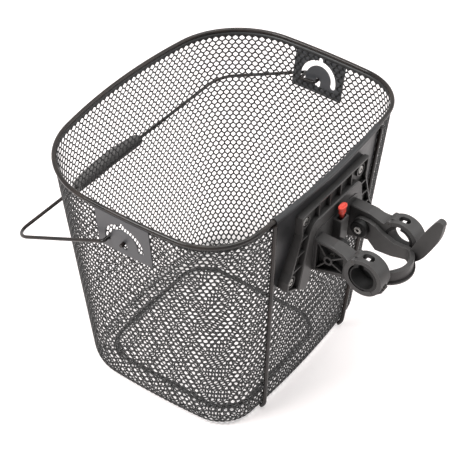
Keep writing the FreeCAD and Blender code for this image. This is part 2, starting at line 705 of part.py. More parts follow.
def plate_xz(half_outline, y0, y1, radius=0.0):
    """Symmetric plate from the (x, z) points of its right half, listed from the top."""
    left = [(-x, z) for x, z in reversed(half_outline) if x > 0]
    points = [V(x, y0, z) for x, z in half_outline + left]
    plate = Part.Face(Part.makePolygon(points + points[:1])).extrude(V(0, y1 - y0, 0))
    if radius:
        edges = [e for e in plate.Edges if e.BoundBox.YLength > 0.5 * (y1 - y0)]
        plate = plate.makeFillet(radius, edges)
    return plate


def channel_space(widen, y0, y1, top):
    """Channel that the bracket's body runs in, open and flared at the bottom."""
    half = CHANNEL_HALF_WIDTH + widen
    low = U_LOW_INNER[0] + widen
    return plate_xz([(half, top), (half, CHANNEL_FLARE_Z), (low, U_LOW_INNER[1]),
                     (low, U_LOW_INNER[1] - 30)], y0, y1)


def adapter_plate():
    """Moulded adapter: flange, raised U with ribbed flanks, grooves and latch track."""
    back = ADAPTER_FLANGE_Y + 24
    flange = plate_xz([FLANGE_TOP, FLANGE_SHOULDER, FLANGE_HIP, FLANGE_CORNER,
                       FLANGE_LOW_CORNER, U_LOW_OUTER, U_LOW_INNER], ADAPTER_FLANGE_Y, back, 2.5)
    raised = plate_xz([U_TOP, U_LOW_OUTER, U_LOW_INNER], ADAPTER_FACE_Y, back)
    raised = round_top(raised, U_TOP_R)
    front_edges = [e for e in raised.Edges if e.BoundBox.YMax < ADAPTER_FACE_Y + 0.01]
    raised = raised.makeChamfer(1.0, front_edges)
    adapter = fuse([flange, raised, flange_lip()] + adapter_ribs() + screw_bosses())
    channel = channel_space(0, ADAPTER_FACE_Y - 5, ADAPTER_FLANGE_Y, CHANNEL_TOP)
    adapter = adapter.cut(round_top(channel, CHANNEL_TOP_R))
    adapter = adapter.cut(channel_space(GROOVE_DEPTH, ADAPTER_FLANGE_Y - GROOVE_WIDTH,
                                        ADAPTER_FLANGE_Y, CHANNEL_TOP))
    adapter = adapter.cut(channel_space(0, ADAPTER_FLANGE_Y - 1, back + 1, BACK_OPENING_TOP))
    adapter = adapter.cut(box(-PAWL_HALF_WIDTH - FIT, PAWL_HALF_WIDTH + FIT,
                              ADAPTER_FLANGE_Y - 1, ADAPTER_FLANGE_Y + PAWL_REACH + FIT,
                              BACK_OPENING_TOP - 10, PAWL_TOP + FIT))
    adapter = adapter.cut(basket_block(MESH_T / 2 + SHEET_T))
    for x, z in adapter_screw_places():
        adapter = adapter.cut(screw_bore(x, z))
        adapter = adapter.cut(cylinder(SCREW_HEAD_R + 1.0, V(x, THROUGH_FROM, z),
                                       V(x, ADAPTER_FLANGE_Y, z)))
    return max(adapter.Solids, key=lambda piece: piece.Volume)


def flange_lip():
    """Wall that stands along the flange's edge."""
    right = [FLANGE_TOP, FLANGE_SHOULDER, FLANGE_HIP, FLANGE_CORNER, FLANGE_LOW_CORNER,
             U_LOW_OUTER, U_LOW_INNER]
    front = ADAPTER_FLANGE_Y - LIP_H
    left = [(-x, z) for x, z in reversed(right)]
    points = [V(x, front, z) for x, z in right + left]
    edge = Part.Face(Part.makePolygon(points + points[:1]))
    inner = edge.makeOffset2D(-LIP_T)
    depth = V(0, LIP_H + 1, 0)
    return edge.extrude(depth).cut(inner.extrude(depth))


def round_top(plate, radius):
    """The plate with its two upper corners rounded."""
    top = plate.BoundBox.ZMax - 0.01
    edges = [e for e in plate.Edges if e.BoundBox.ZMin > top and e.BoundBox.XLength < 0.01]
    return plate.makeFillet(radius, edges)


def screw_bore(x, z):
    """Clearance for an adapter screw, through the adapter, the plate and the wall."""
    return cylinder(ADAPTER_SCREW_R + FIT, V(x, THROUGH_FROM, z), V(x, THROUGH_TO, z))


def screw_bosses():
    """Round bosses that stand around the adapter's screw heads."""
    return [cylinder(SCREW_BOSS_R, V(x, ADAPTER_FLANGE_Y - SCREW_BOSS_H, z), V(x, ADAPTER_FLANGE_Y + 1, z))
            for x, z in adapter_screw_places()]


def adapter_ribs():
    """Small ribs between the flange and the raised U, along its flanks."""
    ribs = []
    y0 = ADAPTER_FLANGE_Y - LIP_H + 0.4
    y1 = ADAPTER_FLANGE_Y + 1
    for k in range(RIB_COUNT_TOP):
        x = (k - (RIB_COUNT_TOP - 1) / 2) * RIB_PITCH_TOP
        ribs.append(box(x - RIB_T / 2, x + RIB_T / 2, y0, y1, U_TOP[1] - 2, FLANGE_TOP[1] - 1))
    for k in range(RIB_COUNT_SIDE):
        z = RIB_FIRST_Z + RIB_PITCH_SIDE * k
        lean = (z - U_TOP[1]) / (U_LOW_OUTER[1] - U_TOP[1])
        x0 = U_TOP[0] + (U_LOW_OUTER[0] - U_TOP[0]) * lean - 2
        fall = (z - FLANGE_SHOULDER[1]) / (FLANGE_HIP[1] - FLANGE_SHOULDER[1])
        x1 = FLANGE_SHOULDER[0] + (FLANGE_HIP[0] - FLANGE_SHOULDER[0]) * fall - LIP_T / 2
        rib = box(x0, x1, y0, y1, z - RIB_T / 2, z + RIB_T / 2)
        ribs += [rib, mirrored(rib)]
    return ribs


def adapter_screws():
    """Pan-head screws through the adapter and the wall."""
    screws = []
    for x, z in adapter_screw_places():
        inside_y = wall_y(x, z) + MESH_T + WASHER_T + NUT_H + 1.5
        shank = cylinder(ADAPTER_SCREW_R, V(x, ADAPTER_FLANGE_Y, z), V(x, inside_y, z))
        head = cylinder(SCREW_HEAD_R, V(x, ADAPTER_FLANGE_Y - SCREW_HEAD_H, z),
                        V(x, ADAPTER_FLANGE_Y, z))
        rim = [e for e in head.Edges if e.BoundBox.YMax < ADAPTER_FLANGE_Y - SCREW_HEAD_H + 0.01]
        head = head.makeFillet(1.2, rim)
        screw = fuse([head, shank])
        for turn in (0, 90):
            bar = box(-2.6, 2.6, ADAPTER_FLANGE_Y - SCREW_HEAD_H - 1,
                      ADAPTER_FLANGE_Y - SCREW_HEAD_H + 1.5, -0.45, 0.45)
            bar.rotate(V(0, 0, 0), Y_AXIS, turn + 20)
            bar.translate(V(x, 0, z))
            screw = screw.cut(bar)
        screws.append(screw)
    return Part.makeCompound(screws)


def adapter_washers():
    """Wide washers inside the basket, trimmed to the wall they press on."""
    washers = []
    for x, z in adapter_screw_places():
        y = wall_y(x, z) + MESH_T
        washer = cylinder(WASHER_R, V(x, y - 3, z), V(x, y + WASHER_T, z))
        washer = washer.cut(cylinder(ADAPTER_SCREW_R + FIT, V(x, y - 5, z), V(x, y + 5, z)))
        wall = basket_block(MESH_T + 30).cut(basket_block(-MESH_T / 2))
        washer = washer.cut(wall)
        washers.append(max(washer.Solids, key=lambda s: s.Volume))
    return Part.makeCompound(washers)


def adapter_nuts():
    """Nuts on the screws, inside the basket."""
    nuts = []
    for x, z in adapter_screw_places():
        y = wall_y(x, z) + MESH_T + WASHER_T
        nut = hexagon_y(NUT_ACROSS, x, z, y, y + NUT_H)
        nuts.append(nut.cut(cylinder(ADAPTER_SCREW_R, V(x, y - 1, z), V(x, y + NUT_H + 1, z))))
    return Part.makeCompound(nuts)


# ------------------------------------------------------------- handlebar bracket
def body_half_width():
    return CHANNEL_HALF_WIDTH - SLIDE_CLEARANCE


def body_back():
    return ADAPTER_FLANGE_Y - SLIDE_CLEARANCE


def body_top():
    return CHANNEL_TOP - SLIDE_CLEARANCE


def bracket_body():
    """Sliding block that carries the arms, with its rails and the button's boss."""
    half, back, top = body_half_width(), body_back(), body_top()
    block = round_top(box(-half, half, BODY_FRONT_Y, back, BODY_BOTTOM, top), CHANNEL_TOP_R)
    rails = box(-half - GROOVE_DEPTH, half + GROOVE_DEPTH,
                back - GROOVE_WIDTH + 2 * SLIDE_CLEARANCE, back, BODY_BOTTOM + 4, top - 4)
    boss = rounded_plate(-BOSS_HALF_WIDTH, BOSS_HALF_WIDTH, BOSS_FRONT_Y, BODY_FRONT_Y + 1,
                         BOSS_BOTTOM, BOSS_TOP, 2.0)
    front_edges = [e for e in boss.Edges if e.BoundBox.YMax < BOSS_FRONT_Y + 0.01]
    boss = boss.makeFillet(1.2, front_edges)
    body = fuse([block, rails, boss])
    body = body.cut(stem_pocket())
    body = body.cut(pawl_pocket())
    for x in (-ARM_SCREW_X, ARM_SCREW_X):
        for z in ARM_SCREW_Z:
            body = body.cut(cylinder(ARM_SCREW_R, V(x, BODY_FRONT_Y - 1, z), V(x, back + 1, z)))
            cone = Part.makeCone(ARM_SCREW_HEAD_R, ARM_SCREW_R, 3.0, V(x, back, z), V(0, -1, 0))
            body = body.cut(cone)
    return body


def button_y():
    """Middle of the button's stem, between the boss's faces."""
    return BODY_FRONT_Y - BUTTON_FORWARD


def stem_pocket():
    """Slot for the button's stem, and the bore of its spring under it."""
    y = button_y()
    stem = box(-STEM_HALF_WIDTH - FIT, STEM_HALF_WIDTH + FIT, y - STEM_HALF_DEPTH - FIT,
               y + STEM_HALF_DEPTH + FIT, STEM_BOTTOM - BUTTON_TRAVEL - 1, BOSS_TOP + 10)
    bore = cylinder(SPRING_R + SPRING_WIRE_R + FIT, V(0, y, SPRING_BOTTOM),
                    V(0, y, STEM_BOTTOM))
    return stem.fuse(bore)


def pawl_pocket():
    """Room in the block's back for the latch pawl to draw in."""
    back = body_back()
    return box(-PAWL_HALF_WIDTH - FIT, PAWL_HALF_WIDTH + FIT,
               back - PAWL_T - PAWL_TRAVEL - FIT, back + 1, PAWL_BOTTOM - FIT, PAWL_TOP + FIT)


def release_button():
    """Red button: a Y-shaped cap over a flat stem."""
    half, top, low = BUTTON_HALF_WIDTH, BUTTON_TOP, BUTTON_UNDER
    y0 = button_y() - BUTTON_T / 2
    outline = [(half - 3.0, top), (half, top - 1.2), (half - 0.8, low + 4.5), (3.0, low)]
    left = [(-x, z) for x, z in reversed(outline)]
    points = [V(x, y0, z) for x, z in [(0, top - 2.5)] + outline + left]
    cap = Part.Face(Part.makePolygon(points + points[:1])).extrude(V(0, BUTTON_T, 0))
    cap = cap.makeFillet(0.9, [e for e in cap.Edges if e.BoundBox.YLength > 1.0])
    y = button_y()
    stem = box(-STEM_HALF_WIDTH, STEM_HALF_WIDTH, y - STEM_HALF_DEPTH, y + STEM_HALF_DEPTH,
               STEM_BOTTOM, low + 3)
    return fuse([cap, stem])


def coil_spring(radius, wire_r, length, turns):
    """Helical spring standing on the origin."""
    pitch = (length - 2 * wire_r) / turns
    helix = Part.makeHelix(pitch, length - 2 * wire_r, radius)
    helix.translate(V(0, 0, wire_r))
    ring = Part.Wire(Part.makeCircle(wire_r, V(radius, 0, wire_r), V(0, 1, 0)))
    return Part.Wire(helix).makePipeShell([ring], True, True)


def button_spring():
    """Compression spring under the button's stem."""
    spring = coil_spring(SPRING_R, SPRING_WIRE_R, STEM_BOTTOM - SPRING_BOTTOM, SPRING_TURNS)
    spring.translate(V(0, button_y(), SPRING_BOTTOM))
    return spring


def latch_pawl():
    """Latch pawl: a sliding plate with the nose that reaches into the track."""
    back = body_back()
    plate = box(-PAWL_HALF_WIDTH, PAWL_HALF_WIDTH, back - PAWL_T, back, PAWL_BOTTOM, PAWL_TOP)
    tip = ADAPTER_FLANGE_Y + PAWL_REACH
    nose = prism_x([(back - 1, PAWL_BOTTOM + 3), (tip, PAWL_TOP - 4), (tip, PAWL_TOP - 1),
                    (back - 1, PAWL_TOP - 1)], 2 - PAWL_HALF_WIDTH, PAWL_HALF_WIDTH - 2)
    return fuse([plate, nose])


# ------------------------------------------------------------------------- clamps
def place_clamp(shape):
    """Turn a shape from the clamp's own frame into place on the handlebar's axis."""
    shape.rotate(V(0, 0, 0), X_AXIS, -CLAMP_TILT)
    shape.translate(V(0, BAR_Y, BAR_Z))
    return shape


def bar_disc(radius, x0, x1):
    """Cylinder about the handlebar's axis, in the clamp's own frame."""
    return cylinder(radius, V(x0, 0, 0), V(x1, 0, 0))


def knuckle_space(x0, x1, grow):
    """Round of a hinge knuckle, in the clamp's own frame."""
    return cylinder(KNUCKLE_R + grow, V(x0, 0, HINGE_UP), V(x1, 0, HINGE_UP))


def lug_bottom():
    return -(RING_R + LUG_BELOW_RING)


def bolt_z():
    return -(SEAT_R + CLAMP_BOLT_R + BOLT_WALL)


def clamp_half(sign, x0, x1, knuckles):
    """Half of the clamp on one side of its split: ring, hinge webs and bolt lug."""
    gap = SPLIT_GAP / 2
    far = RING_R + 30
    half_space = box(x0, x1, min(sign * gap, sign * far), max(sign * gap, sign * far), -far, far)
    ring = bar_disc(RING_R, x0, x1).common(half_space)
    mid = (x0 + x1) / 2
    lug_y = sorted([sign * gap, sign * LUG_DEPTH])
    lug = box(mid - LUG_HALF_WIDTH, mid + LUG_HALF_WIDTH, lug_y[0], lug_y[1],
              lug_bottom(), -SEAT_R + 2)
    pieces = [ring, lug]
    for k0, k1 in knuckles:
        crest = HINGE_UP + KNUCKLE_R
        web = prism_x([(sign * gap, HINGE_UP), (0, crest), (sign * 4.5, crest - 1.0),
                       (sign * 0.76 * RING_R, 0.64 * RING_R),
                       (sign * gap, HINGE_UP - KNUCKLE_R)], k0, k1)
        pieces += [web, knuckle_space(k0, k1, 0)]
    return fuse(pieces)


def arm_half_pieces():
    """The arm's share of its clamp, placed."""
    x0, x1 = ARM_INNER_X, ARM_INNER_X + ARM_WIDTH
    half = clamp_half(1, x0, x1, [(x0, x0 + CHEEK), (x1 - CHEEK, x1)])
    return place_clamp(half)


def arm():
    """Right arm: root on the bracket's body, fixed half of the clamp at its end."""
    x0, x1 = ARM_INNER_X, ARM_INNER_X + ARM_WIDTH
    ring_y = BAR_Y + SEAT_R - 3
    beam = prism_x([(BODY_FRONT_Y, ARM_ROOT_TOP), (ARM_KNEE_Y, ARM_ROOT_TOP),
                    (ARM_NECK_Y, ARM_NECK_TOP), (ring_y, ARM_NECK_TOP),
                    (ring_y, ARM_NECK_BOTTOM), (ARM_NECK_Y, ARM_NECK_BOTTOM),
                    (BODY_FRONT_Y, ARM_ROOT_BOTTOM)], x0, x1)
    root_x1 = x0 + ARM_ROOT_WIDTH
    flare_z, flare_height = ARM_ROOT_BOTTOM - 10, ARM_ROOT_TOP - ARM_ROOT_BOTTOM + 20
    flare = [V(x1 + 1, BODY_FRONT_Y + 1, flare_z), V(root_x1, BODY_FRONT_Y + 1, flare_z),
             V(root_x1, ARM_NECK_Y + 6, flare_z), V(x1, BAR_Y + RING_R - 6, flare_z),
             V(x1 + 1, BAR_Y + RING_R - 6, flare_z)]
    beam = beam.cut(Part.Face(Part.makePolygon(flare + flare[:1])).extrude(V(0, 0, flare_height)))
    top_edges = [e for e in beam.Edges if e.BoundBox.ZMin > ARM_ROOT_TOP - 0.1
                 and e.BoundBox.YLength > 5]
    beam = beam.makeChamfer(1.0, top_edges)
    body = fuse([beam, arm_half_pieces()])
    cutters = [bar_disc(SEAT_R, x0 - 1, x1 + 1),
               knuckle_space(x0 + CHEEK, x1 - CHEEK, FIT + 0.1),
               cylinder(HINGE_PIN_R, V(x0 - 1, 0, HINGE_UP), V(x1 + 1, 0, HINGE_UP)),
               bolt_hole(FIT + 0.3), nut_blank(FIT / 3, 12)]
    for cutter in cutters:
        body = body.cut(place_clamp(cutter))
    body = body.cut(split_side(x0, x1))
    body = body.cut(arm_pocket())
    body = fuse([body, arm_hub()] + arm_ribs())
    body = body.cut(cylinder(HUB_BORE_R, V(root_x1 - HUB_BORE_DEPTH, HUB_Y, HUB_Z),
                             V(root_x1 + 1, HUB_Y, HUB_Z)))
    body = body.cut(cylinder(PIVOT_SCREW_R, V(x0 - 1, PIVOT_Y, PIVOT_Z),
                             V(x0 + PIVOT_SCREW_BITE, PIVOT_Y, PIVOT_Z)))
    for z in ARM_SCREW_Z:
        body = body.cut(cylinder(ARM_SCREW_R, V(ARM_SCREW_X, BODY_FRONT_Y + 1, z),
                                 V(ARM_SCREW_X, arm_screw_tip(), z)))
    return max(body.Solids, key=lambda piece: piece.Volume)


def split_side(x0, x1):
    """Space on the cap's side of the split, which the arm stays out of."""
    far = RING_R + 30
    return place_clamp(box(x0 - 1, x1 + 1, -far, SPLIT_GAP / 2, -far, HINGE_UP - KNUCKLE_R - 0.4))


def arm_screw_tip():
    return body_back() - ARM_SCREW_LENGTH


def pocket_points(inset):
    """Trapezoid of the arm's outer pocket, as (y, z)."""
    wall = POCKET_WALL + inset
    return [(BODY_FRONT_Y - wall, ARM_ROOT_TOP - wall),
            (BODY_FRONT_Y - wall, ARM_ROOT_BOTTOM + wall),
            (ARM_NECK_Y + wall + 1, ARM_NECK_BOTTOM + wall),
            (ARM_NECK_Y + wall + 1, ARM_NECK_TOP - wall),
            (ARM_KNEE_Y, ARM_ROOT_TOP - wall)]


def arm_pocket():
    x1 = ARM_INNER_X + ARM_ROOT_WIDTH
    return prism_x(pocket_points(0), x1 - POCKET_DEPTH, x1 + ARM_WIDTH)


def arm_hub():
    x1 = ARM_INNER_X + ARM_ROOT_WIDTH
    return cylinder(HUB_R, V(x1 - POCKET_DEPTH - 1, HUB_Y, HUB_Z), V(x1 - 0.6, HUB_Y, HUB_Z))


def arm_ribs():
    """Ribs from the hub to the pocket's corners."""
    x1 = ARM_INNER_X + ARM_ROOT_WIDTH
    ribs = []
    for y, z in pocket_points(-1.0)[:4]:
        reach = math.hypot(y - HUB_Y, z - HUB_Z)
        rib = box(x1 - POCKET_DEPTH - 1, x1 - 1.2, 0, reach, -RIB_T / 2, RIB_T / 2)
        rib.rotate(V(0, 0, 0), X_AXIS, math.degrees(math.atan2(z - HUB_Z, y - HUB_Y)))
        rib.translate(V(0, HUB_Y, HUB_Z))
        ribs.append(rib)
    return ribs


def clamp_mid():
    return ARM_INNER_X + ARM_WIDTH / 2


def bolt_hole(clearance):
    """Clearance for the clamp bolt, a little taller than wide, in the clamp's frame."""
    y0, y1 = -LUG_DEPTH - 15, LUG_DEPTH + 15
    radius = CLAMP_BOLT_R + clearance
    holes = [cylinder(radius, V(clamp_mid(), y0, bolt_z() - d), V(clamp_mid(), y1, bolt_z() - d))
             for d in (0.0, OVAL_DROP)]
    between = box(clamp_mid() - radius, clamp_mid() + radius, y0, y1, bolt_z() - OVAL_DROP,
                  bolt_z())
    return holes[0].fuse(holes[1]).fuse(between)


def nut_blank(grow, length):
    """Hexagon of the clamp's nut, in the clamp's frame."""
    start = LUG_DEPTH - CLAMP_NUT_H - 0.5
    return hexagon_y(CLAMP_NUT_ACROSS + 2 * grow, clamp_mid(), bolt_z(), start, start + length)


def clamp_nut():
    """Right clamp's nut, in its pocket in the arm's lug."""
    nut = nut_blank(0, CLAMP_NUT_H)
    nut = nut.cut(bolt_hole(FIT))
    return place_clamp(nut)


def clamp_cap():
    """Right clamp's cap: the half on the rider's side."""
    x0, x1 = ARM_INNER_X, ARM_INNER_X + ARM_WIDTH
    cap = clamp_half(-1, x0, x1, [(x0 + CHEEK + FIT, x1 - CHEEK - FIT)])
    top = LUG_DEPTH
    cutters = [bar_disc(SEAT_R + FIT, x0 - 1, x1 + 1),
               knuckle_space(x0 - 1, x0 + CHEEK + FIT, FIT + 0.1),
               knuckle_space(x1 - CHEEK - FIT, x1 + 1, FIT + 0.1),
               cylinder(HINGE_PIN_R + FIT / 2, V(x0 - 1, 0, HINGE_UP), V(x1 + 1, 0, HINGE_UP)),
               cylinder(CLAMP_BOLT_R, V(clamp_mid(), -top - 5, bolt_z()),
                        V(clamp_mid(), 5, bolt_z())),
               cylinder(CLAMP_BOLT_HEAD_R + FIT, V(clamp_mid(), -RING_R - 10, bolt_z()),
                        V(clamp_mid(), -bolt_seat(), bolt_z())), cap_window()]
    for cutter in cutters:
        cap = cap.cut(cutter)
    return place_clamp(max(cap.Solids, key=lambda s: s.Volume))


def cap_window():
    """Oval hole through the top of the cap."""
    half_l, half_w = WINDOW_LENGTH / 2, WINDOW_WIDTH / 2
    window = box(clamp_mid() - half_w, clamp_mid() + half_w, -half_l, half_l, BAR_R - 3, 2 * RING_R)
    edges = [e for e in window.Edges if e.BoundBox.ZLength > 5]
    window = window.makeFillet(half_w - 0.1, edges)
    window.rotate(V(0, 0, 0), X_AXIS, CLAMP_TILT)
    return window


def bolt_seat():
    return LUG_DEPTH - CLAMP_BOLT_HEAD_H + 1.0


def clamp_bolt():
    """Right clamp's bolt, socket head towards the rider."""
    mid, z = clamp_mid(), bolt_z()
    shank = cylinder(CLAMP_BOLT_R, V(mid, -bolt_seat() - 1, z), V(mid, LUG_DEPTH - 1.0, z))
    head = cylinder(CLAMP_BOLT_HEAD_R, V(mid, -bolt_seat() - CLAMP_BOLT_HEAD_H, z),
                    V(mid, -bolt_seat(), z))
    socket = hexagon_y(2.5, mid, z, -bolt_seat() - CLAMP_BOLT_HEAD_H - 1, -bolt_seat() - 2)
    return place_clamp(fuse([head, shank]).cut(socket))


def hinge_pin():
    x0, x1 = ARM_INNER_X, ARM_INNER_X + ARM_WIDTH
    return place_clamp(cylinder(HINGE_PIN_R, V(x0, 0, HINGE_UP), V(x1, 0, HINGE_UP)))


def spacer():
    """Right spacer: a split ring that makes up a thinner bar."""
    x0, x1 = ARM_INNER_X, ARM_INNER_X + ARM_WIDTH
    ring = bar_disc(SEAT_R, x0, x1).cut(bar_disc(BAR_R, x0 - 1, x1 + 1))
    outer = bar_disc(SEAT_R + 1, x1 - GROOVE_IN, x1 + 1)
    groove = outer.cut(bar_disc(SEAT_R - GROOVE_AROUND_SPACER, x1 - GROOVE_IN - 1, x1 + 2))
    back, above = GROOVE_SPREAD
    forward = box(x0, x1 + 2, BAR_Y - back, BAR_Y + SEAT_R, BAR_Z - SEAT_R, BAR_Z + above)
    slit = box(x0 - 1, x1 + 1, BAR_Y + SPACER_SLIT[0], BAR_Y + SPACER_SLIT[1], BAR_Z,
               BAR_Z + SEAT_R + 1)
    return place_clamp(ring).cut(slit).cut(place_clamp(groove).common(forward))


def arm_screws():
    """Countersunk screws from the back of the bracket's body into both arms."""
    face = body_back()
    screws = []
    for x in (-ARM_SCREW_X, ARM_SCREW_X):
        for z in ARM_SCREW_Z:
            shank = cylinder(ARM_SCREW_R, V(x, face, z), V(x, arm_screw_tip(), z))
            cone = Part.makeCone(ARM_SCREW_HEAD_R, ARM_SCREW_R, 3.0, V(x, face, z),
                                 V(0, -1, 0))
            screws.append(fuse([shank, cone]))
    return Part.makeCompound(screws)


# ---------------------------------------------------------------- stabiliser bow
def bow_plan(grow):
    """Plan of the bow's outer face, moved in by -grow."""
    half = ARM_INNER_X - BOW_GAP + grow
    start_y = PIVOT_Y + 20
    corner = BOW_LEG_END_Y
    apex = BOW_APEX_Y - grow
    low, high = PIVOT_Z - 3 * BOW_END_R, PIVOT_Z + 2 * BOW_END_R
    face = box(-half, half, corner, start_y, low, high)
    arc = Part.Arc(V(-half, corner, low), V(0, apex, low), V(half, corner, low)).toShape()
    chord = Part.LineSegment(V(half, corner, low), V(-half, corner, low)).toShape()
    end = Part.Face(Part.Wire([arc, chord])).extrude(V(0, 0, high - low))
    return face.fuse(end).removeSplitter()


def stabiliser_bow():
    """Moulded bow that braces the bracket under the handlebar, with its hook."""
    reach = ARM_INNER_X + ARM_WIDTH
    band = bow_plan(0).cut(bow_plan(-BOW_LEG_T))
    side = prism_x([(PIVOT_Y, PIVOT_Z + BOW_END_R)] + below_rim(BOW_TOP_OUTLINE)
                   + [(BOW_APEX_Y - 3, BOW_BAR_TOP), (BOW_APEX_Y - 3, BOW_BAR_BOTTOM)]
                   + below_rim(BOW_LOW_OUTLINE) + [(PIVOT_Y, PIVOT_Z - BOW_END_R)], -reach, reach)
    side = side.fuse(cylinder(BOW_END_R, V(-reach, PIVOT_Y, PIVOT_Z), V(reach, PIVOT_Y, PIVOT_Z)))
    bow = band.common(side.removeSplitter())
    bow = fuse([bow, bow_flange(), horn()])
    return bow.cut(cylinder(PIVOT_SCREW_R + FIT, V(-reach, PIVOT_Y, PIVOT_Z),
                            V(reach, PIVOT_Y, PIVOT_Z)))


def bow_flange():
    """Thin flange along the lower edge of the cross bar, outside it."""
    outer = bow_plan(FLANGE_LIP).cut(bow_plan(-1.0))
    keep = box(-ARM_INNER_X + BOW_GAP, ARM_INNER_X - BOW_GAP, BOW_APEX_Y - 10, BOW_LEG_END_Y - 1,
               BOW_BAR_BOTTOM, BOW_BAR_BOTTOM + 2.0)
    return outer.common(keep)


def horn():
    """Upright hook at the right end of the cross bar."""
    x1 = ARM_INNER_X - BOW_GAP
    x0 = x1 - HORN_T
    inner = [V(x0, y, RIM_HEIGHT - drop) for y, drop in HORN_INNER]
    outer = [V(x0, y, RIM_HEIGHT - drop) for y, drop in HORN_OUTER]
    tip = (inner[-1] + outer[0]) / 2 + (inner[-1] - inner[-2]).normalize() * HORN_TIP_RISE
    edges = [smooth_edge(inner), Part.Arc(inner[-1], tip, outer[0]).toShape(), smooth_edge(outer),
             Part.LineSegment(outer[-1], inner[0]).toShape()]
    shape = Part.Face(Part.Wire(edges)).extrude(V(HORN_T, 0, 0))
    return shape.cut(prism_x(below_rim(HORN_GROOVE), x0 + HORN_GROOVE_X[0], x0 + HORN_GROOVE_X[1]))


def pivot_pad():
    """Right round pad over the bow's pivot."""
    x1 = ARM_INNER_X - 2 * BOW_GAP - BOW_LEG_T
    pad = cylinder(PAD_R, V(x1 - PAD_T, PIVOT_Y, PIVOT_Z), V(x1, PIVOT_Y, PIVOT_Z))
    edges = [e for e in pad.Edges if e.BoundBox.XMax < x1 - PAD_T + 0.01]
    pad = pad.makeFillet(1.5, edges)
    pad = pad.cut(cylinder(PIVOT_HEAD_R + FIT, V(x1 - PAD_T - 1, PIVOT_Y, PIVOT_Z),
                           V(x1 - PAD_T + 1.2, PIVOT_Y, PIVOT_Z)))
    return pad.cut(cylinder(PIVOT_SCREW_R, V(x1 - 10, PIVOT_Y, PIVOT_Z),
                            V(x1 + 1, PIVOT_Y, PIVOT_Z)))


def pivot_screw():
    """Right pivot screw: through the pad and the bow, into the arm."""
    seat = ARM_INNER_X - 2 * BOW_GAP - BOW_LEG_T - PAD_T + 1.2
    head = cylinder(PIVOT_HEAD_R, V(seat - 2.4, PIVOT_Y, PIVOT_Z), V(seat, PIVOT_Y, PIVOT_Z))
    shank = cylinder(PIVOT_SCREW_R, V(seat - 1, PIVOT_Y, PIVOT_Z),
                     V(ARM_INNER_X + PIVOT_SCREW_BITE, PIVOT_Y, PIVOT_Z))
    socket = cylinder(PIVOT_SOCKET_R, V(seat - 3, PIVOT_Y, PIVOT_Z), V(seat - 0.8, PIVOT_Y, PIVOT_Z))
    screw = fuse([head, shank]).cut(socket)
    key = box(seat - 3, seat - 0.4, PIVOT_Y - 2.6, PIVOT_Y + 2.6, PIVOT_Z - 0.5, PIVOT_Z + 0.5)
    key.rotate(V(0, PIVOT_Y, PIVOT_Z), X_AXIS, 15)
    return screw.cut(key)


# -------------------------------------------------------------------------- build
def build():
    """Every node by name."""
    walls, floor, seam = basket_mesh()
    rod = rear_rod()
    ear = ear_plate()
    nodes = {
        "wall_mesh": walls,
        "floor_mesh": floor,
        "floor_seam": seam,
        "rim_wire": rim_wire(),
        "backing_plate": backing_plate(),
        "bail_wire": bail_wire(),
        "bail_grip": bail_grip(),
        "adapter_plate": adapter_plate(),
        "adapter_screws": adapter_screws(),
        "adapter_washers": adapter_washers(),
        "adapter_nuts": adapter_nuts(),
        "bracket_body": bracket_body(),
        "release_button": release_button(),
        "button_spring": button_spring(),
        "latch_pawl": latch_pawl(),
        "arm_screws": arm_screws(),
        "stabiliser_bow": stabiliser_bow(),
    }
    pairs = {"rear_rod": rod, "ear_plate": ear, "arm": arm(), "clamp_cap": clamp_cap(),
             "clamp_bolt": clamp_bolt(), "clamp_nut": clamp_nut(), "hinge_pin": hinge_pin(),
             "bar_spacer": spacer(), "pivot_pad": pivot_pad(), "pivot_screw": pivot_screw()}
    for name, right in pairs.items():
        nodes[name + "_right"] = right
        nodes[name + "_left"] = mirrored(right)
    return nodes


def main():
    os.makedirs("parts", exist_ok=True)
    for name, shape in build().items():
        shape.exportStep("parts/" + name + ".step")
        box_of = shape.BoundBox
        print("%-20s solids %d valid %s volume %10.1f  x %.1f %.1f y %.1f %.1f z %.1f %.1f" % (
            name, len(shape.Solids), shape.isValid(), shape.Volume, box_of.XMin, box_of.XMax,
            box_of.YMin, box_of.YMax, box_of.ZMin, box_of.ZMax))


if __name__ == "__main__":
    main()
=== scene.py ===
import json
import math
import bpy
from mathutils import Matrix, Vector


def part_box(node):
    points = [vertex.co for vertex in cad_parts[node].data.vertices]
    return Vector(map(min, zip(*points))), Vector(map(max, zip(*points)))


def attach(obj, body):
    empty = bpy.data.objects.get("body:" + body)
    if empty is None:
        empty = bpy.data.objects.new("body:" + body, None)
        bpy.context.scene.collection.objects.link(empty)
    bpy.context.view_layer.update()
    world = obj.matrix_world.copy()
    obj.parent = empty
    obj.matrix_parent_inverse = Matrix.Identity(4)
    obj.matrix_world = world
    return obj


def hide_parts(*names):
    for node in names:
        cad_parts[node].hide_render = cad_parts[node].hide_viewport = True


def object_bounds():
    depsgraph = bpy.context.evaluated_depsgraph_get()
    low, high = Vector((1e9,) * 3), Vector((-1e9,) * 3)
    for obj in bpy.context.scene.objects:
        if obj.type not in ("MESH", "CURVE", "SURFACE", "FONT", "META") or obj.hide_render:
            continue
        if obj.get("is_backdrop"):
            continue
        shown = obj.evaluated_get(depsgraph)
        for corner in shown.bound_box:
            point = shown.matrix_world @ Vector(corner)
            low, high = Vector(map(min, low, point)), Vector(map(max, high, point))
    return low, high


bl_info = {
    "name": "Handlebar basket",
    "version": (1, 0, 0),
    "blender": (4, 5, 0),
    "location": "3D View > Sidebar > Basket",
    "description": "Dresses the wire basket, its bail and its quick-release bracket",
    "category": "Object",
}

import bpy
import numpy as np
from bpy.props import FloatProperty, FloatVectorProperty, IntProperty, PointerProperty
from mathutils import Matrix, Vector
from mathutils.bvhtree import BVHTree

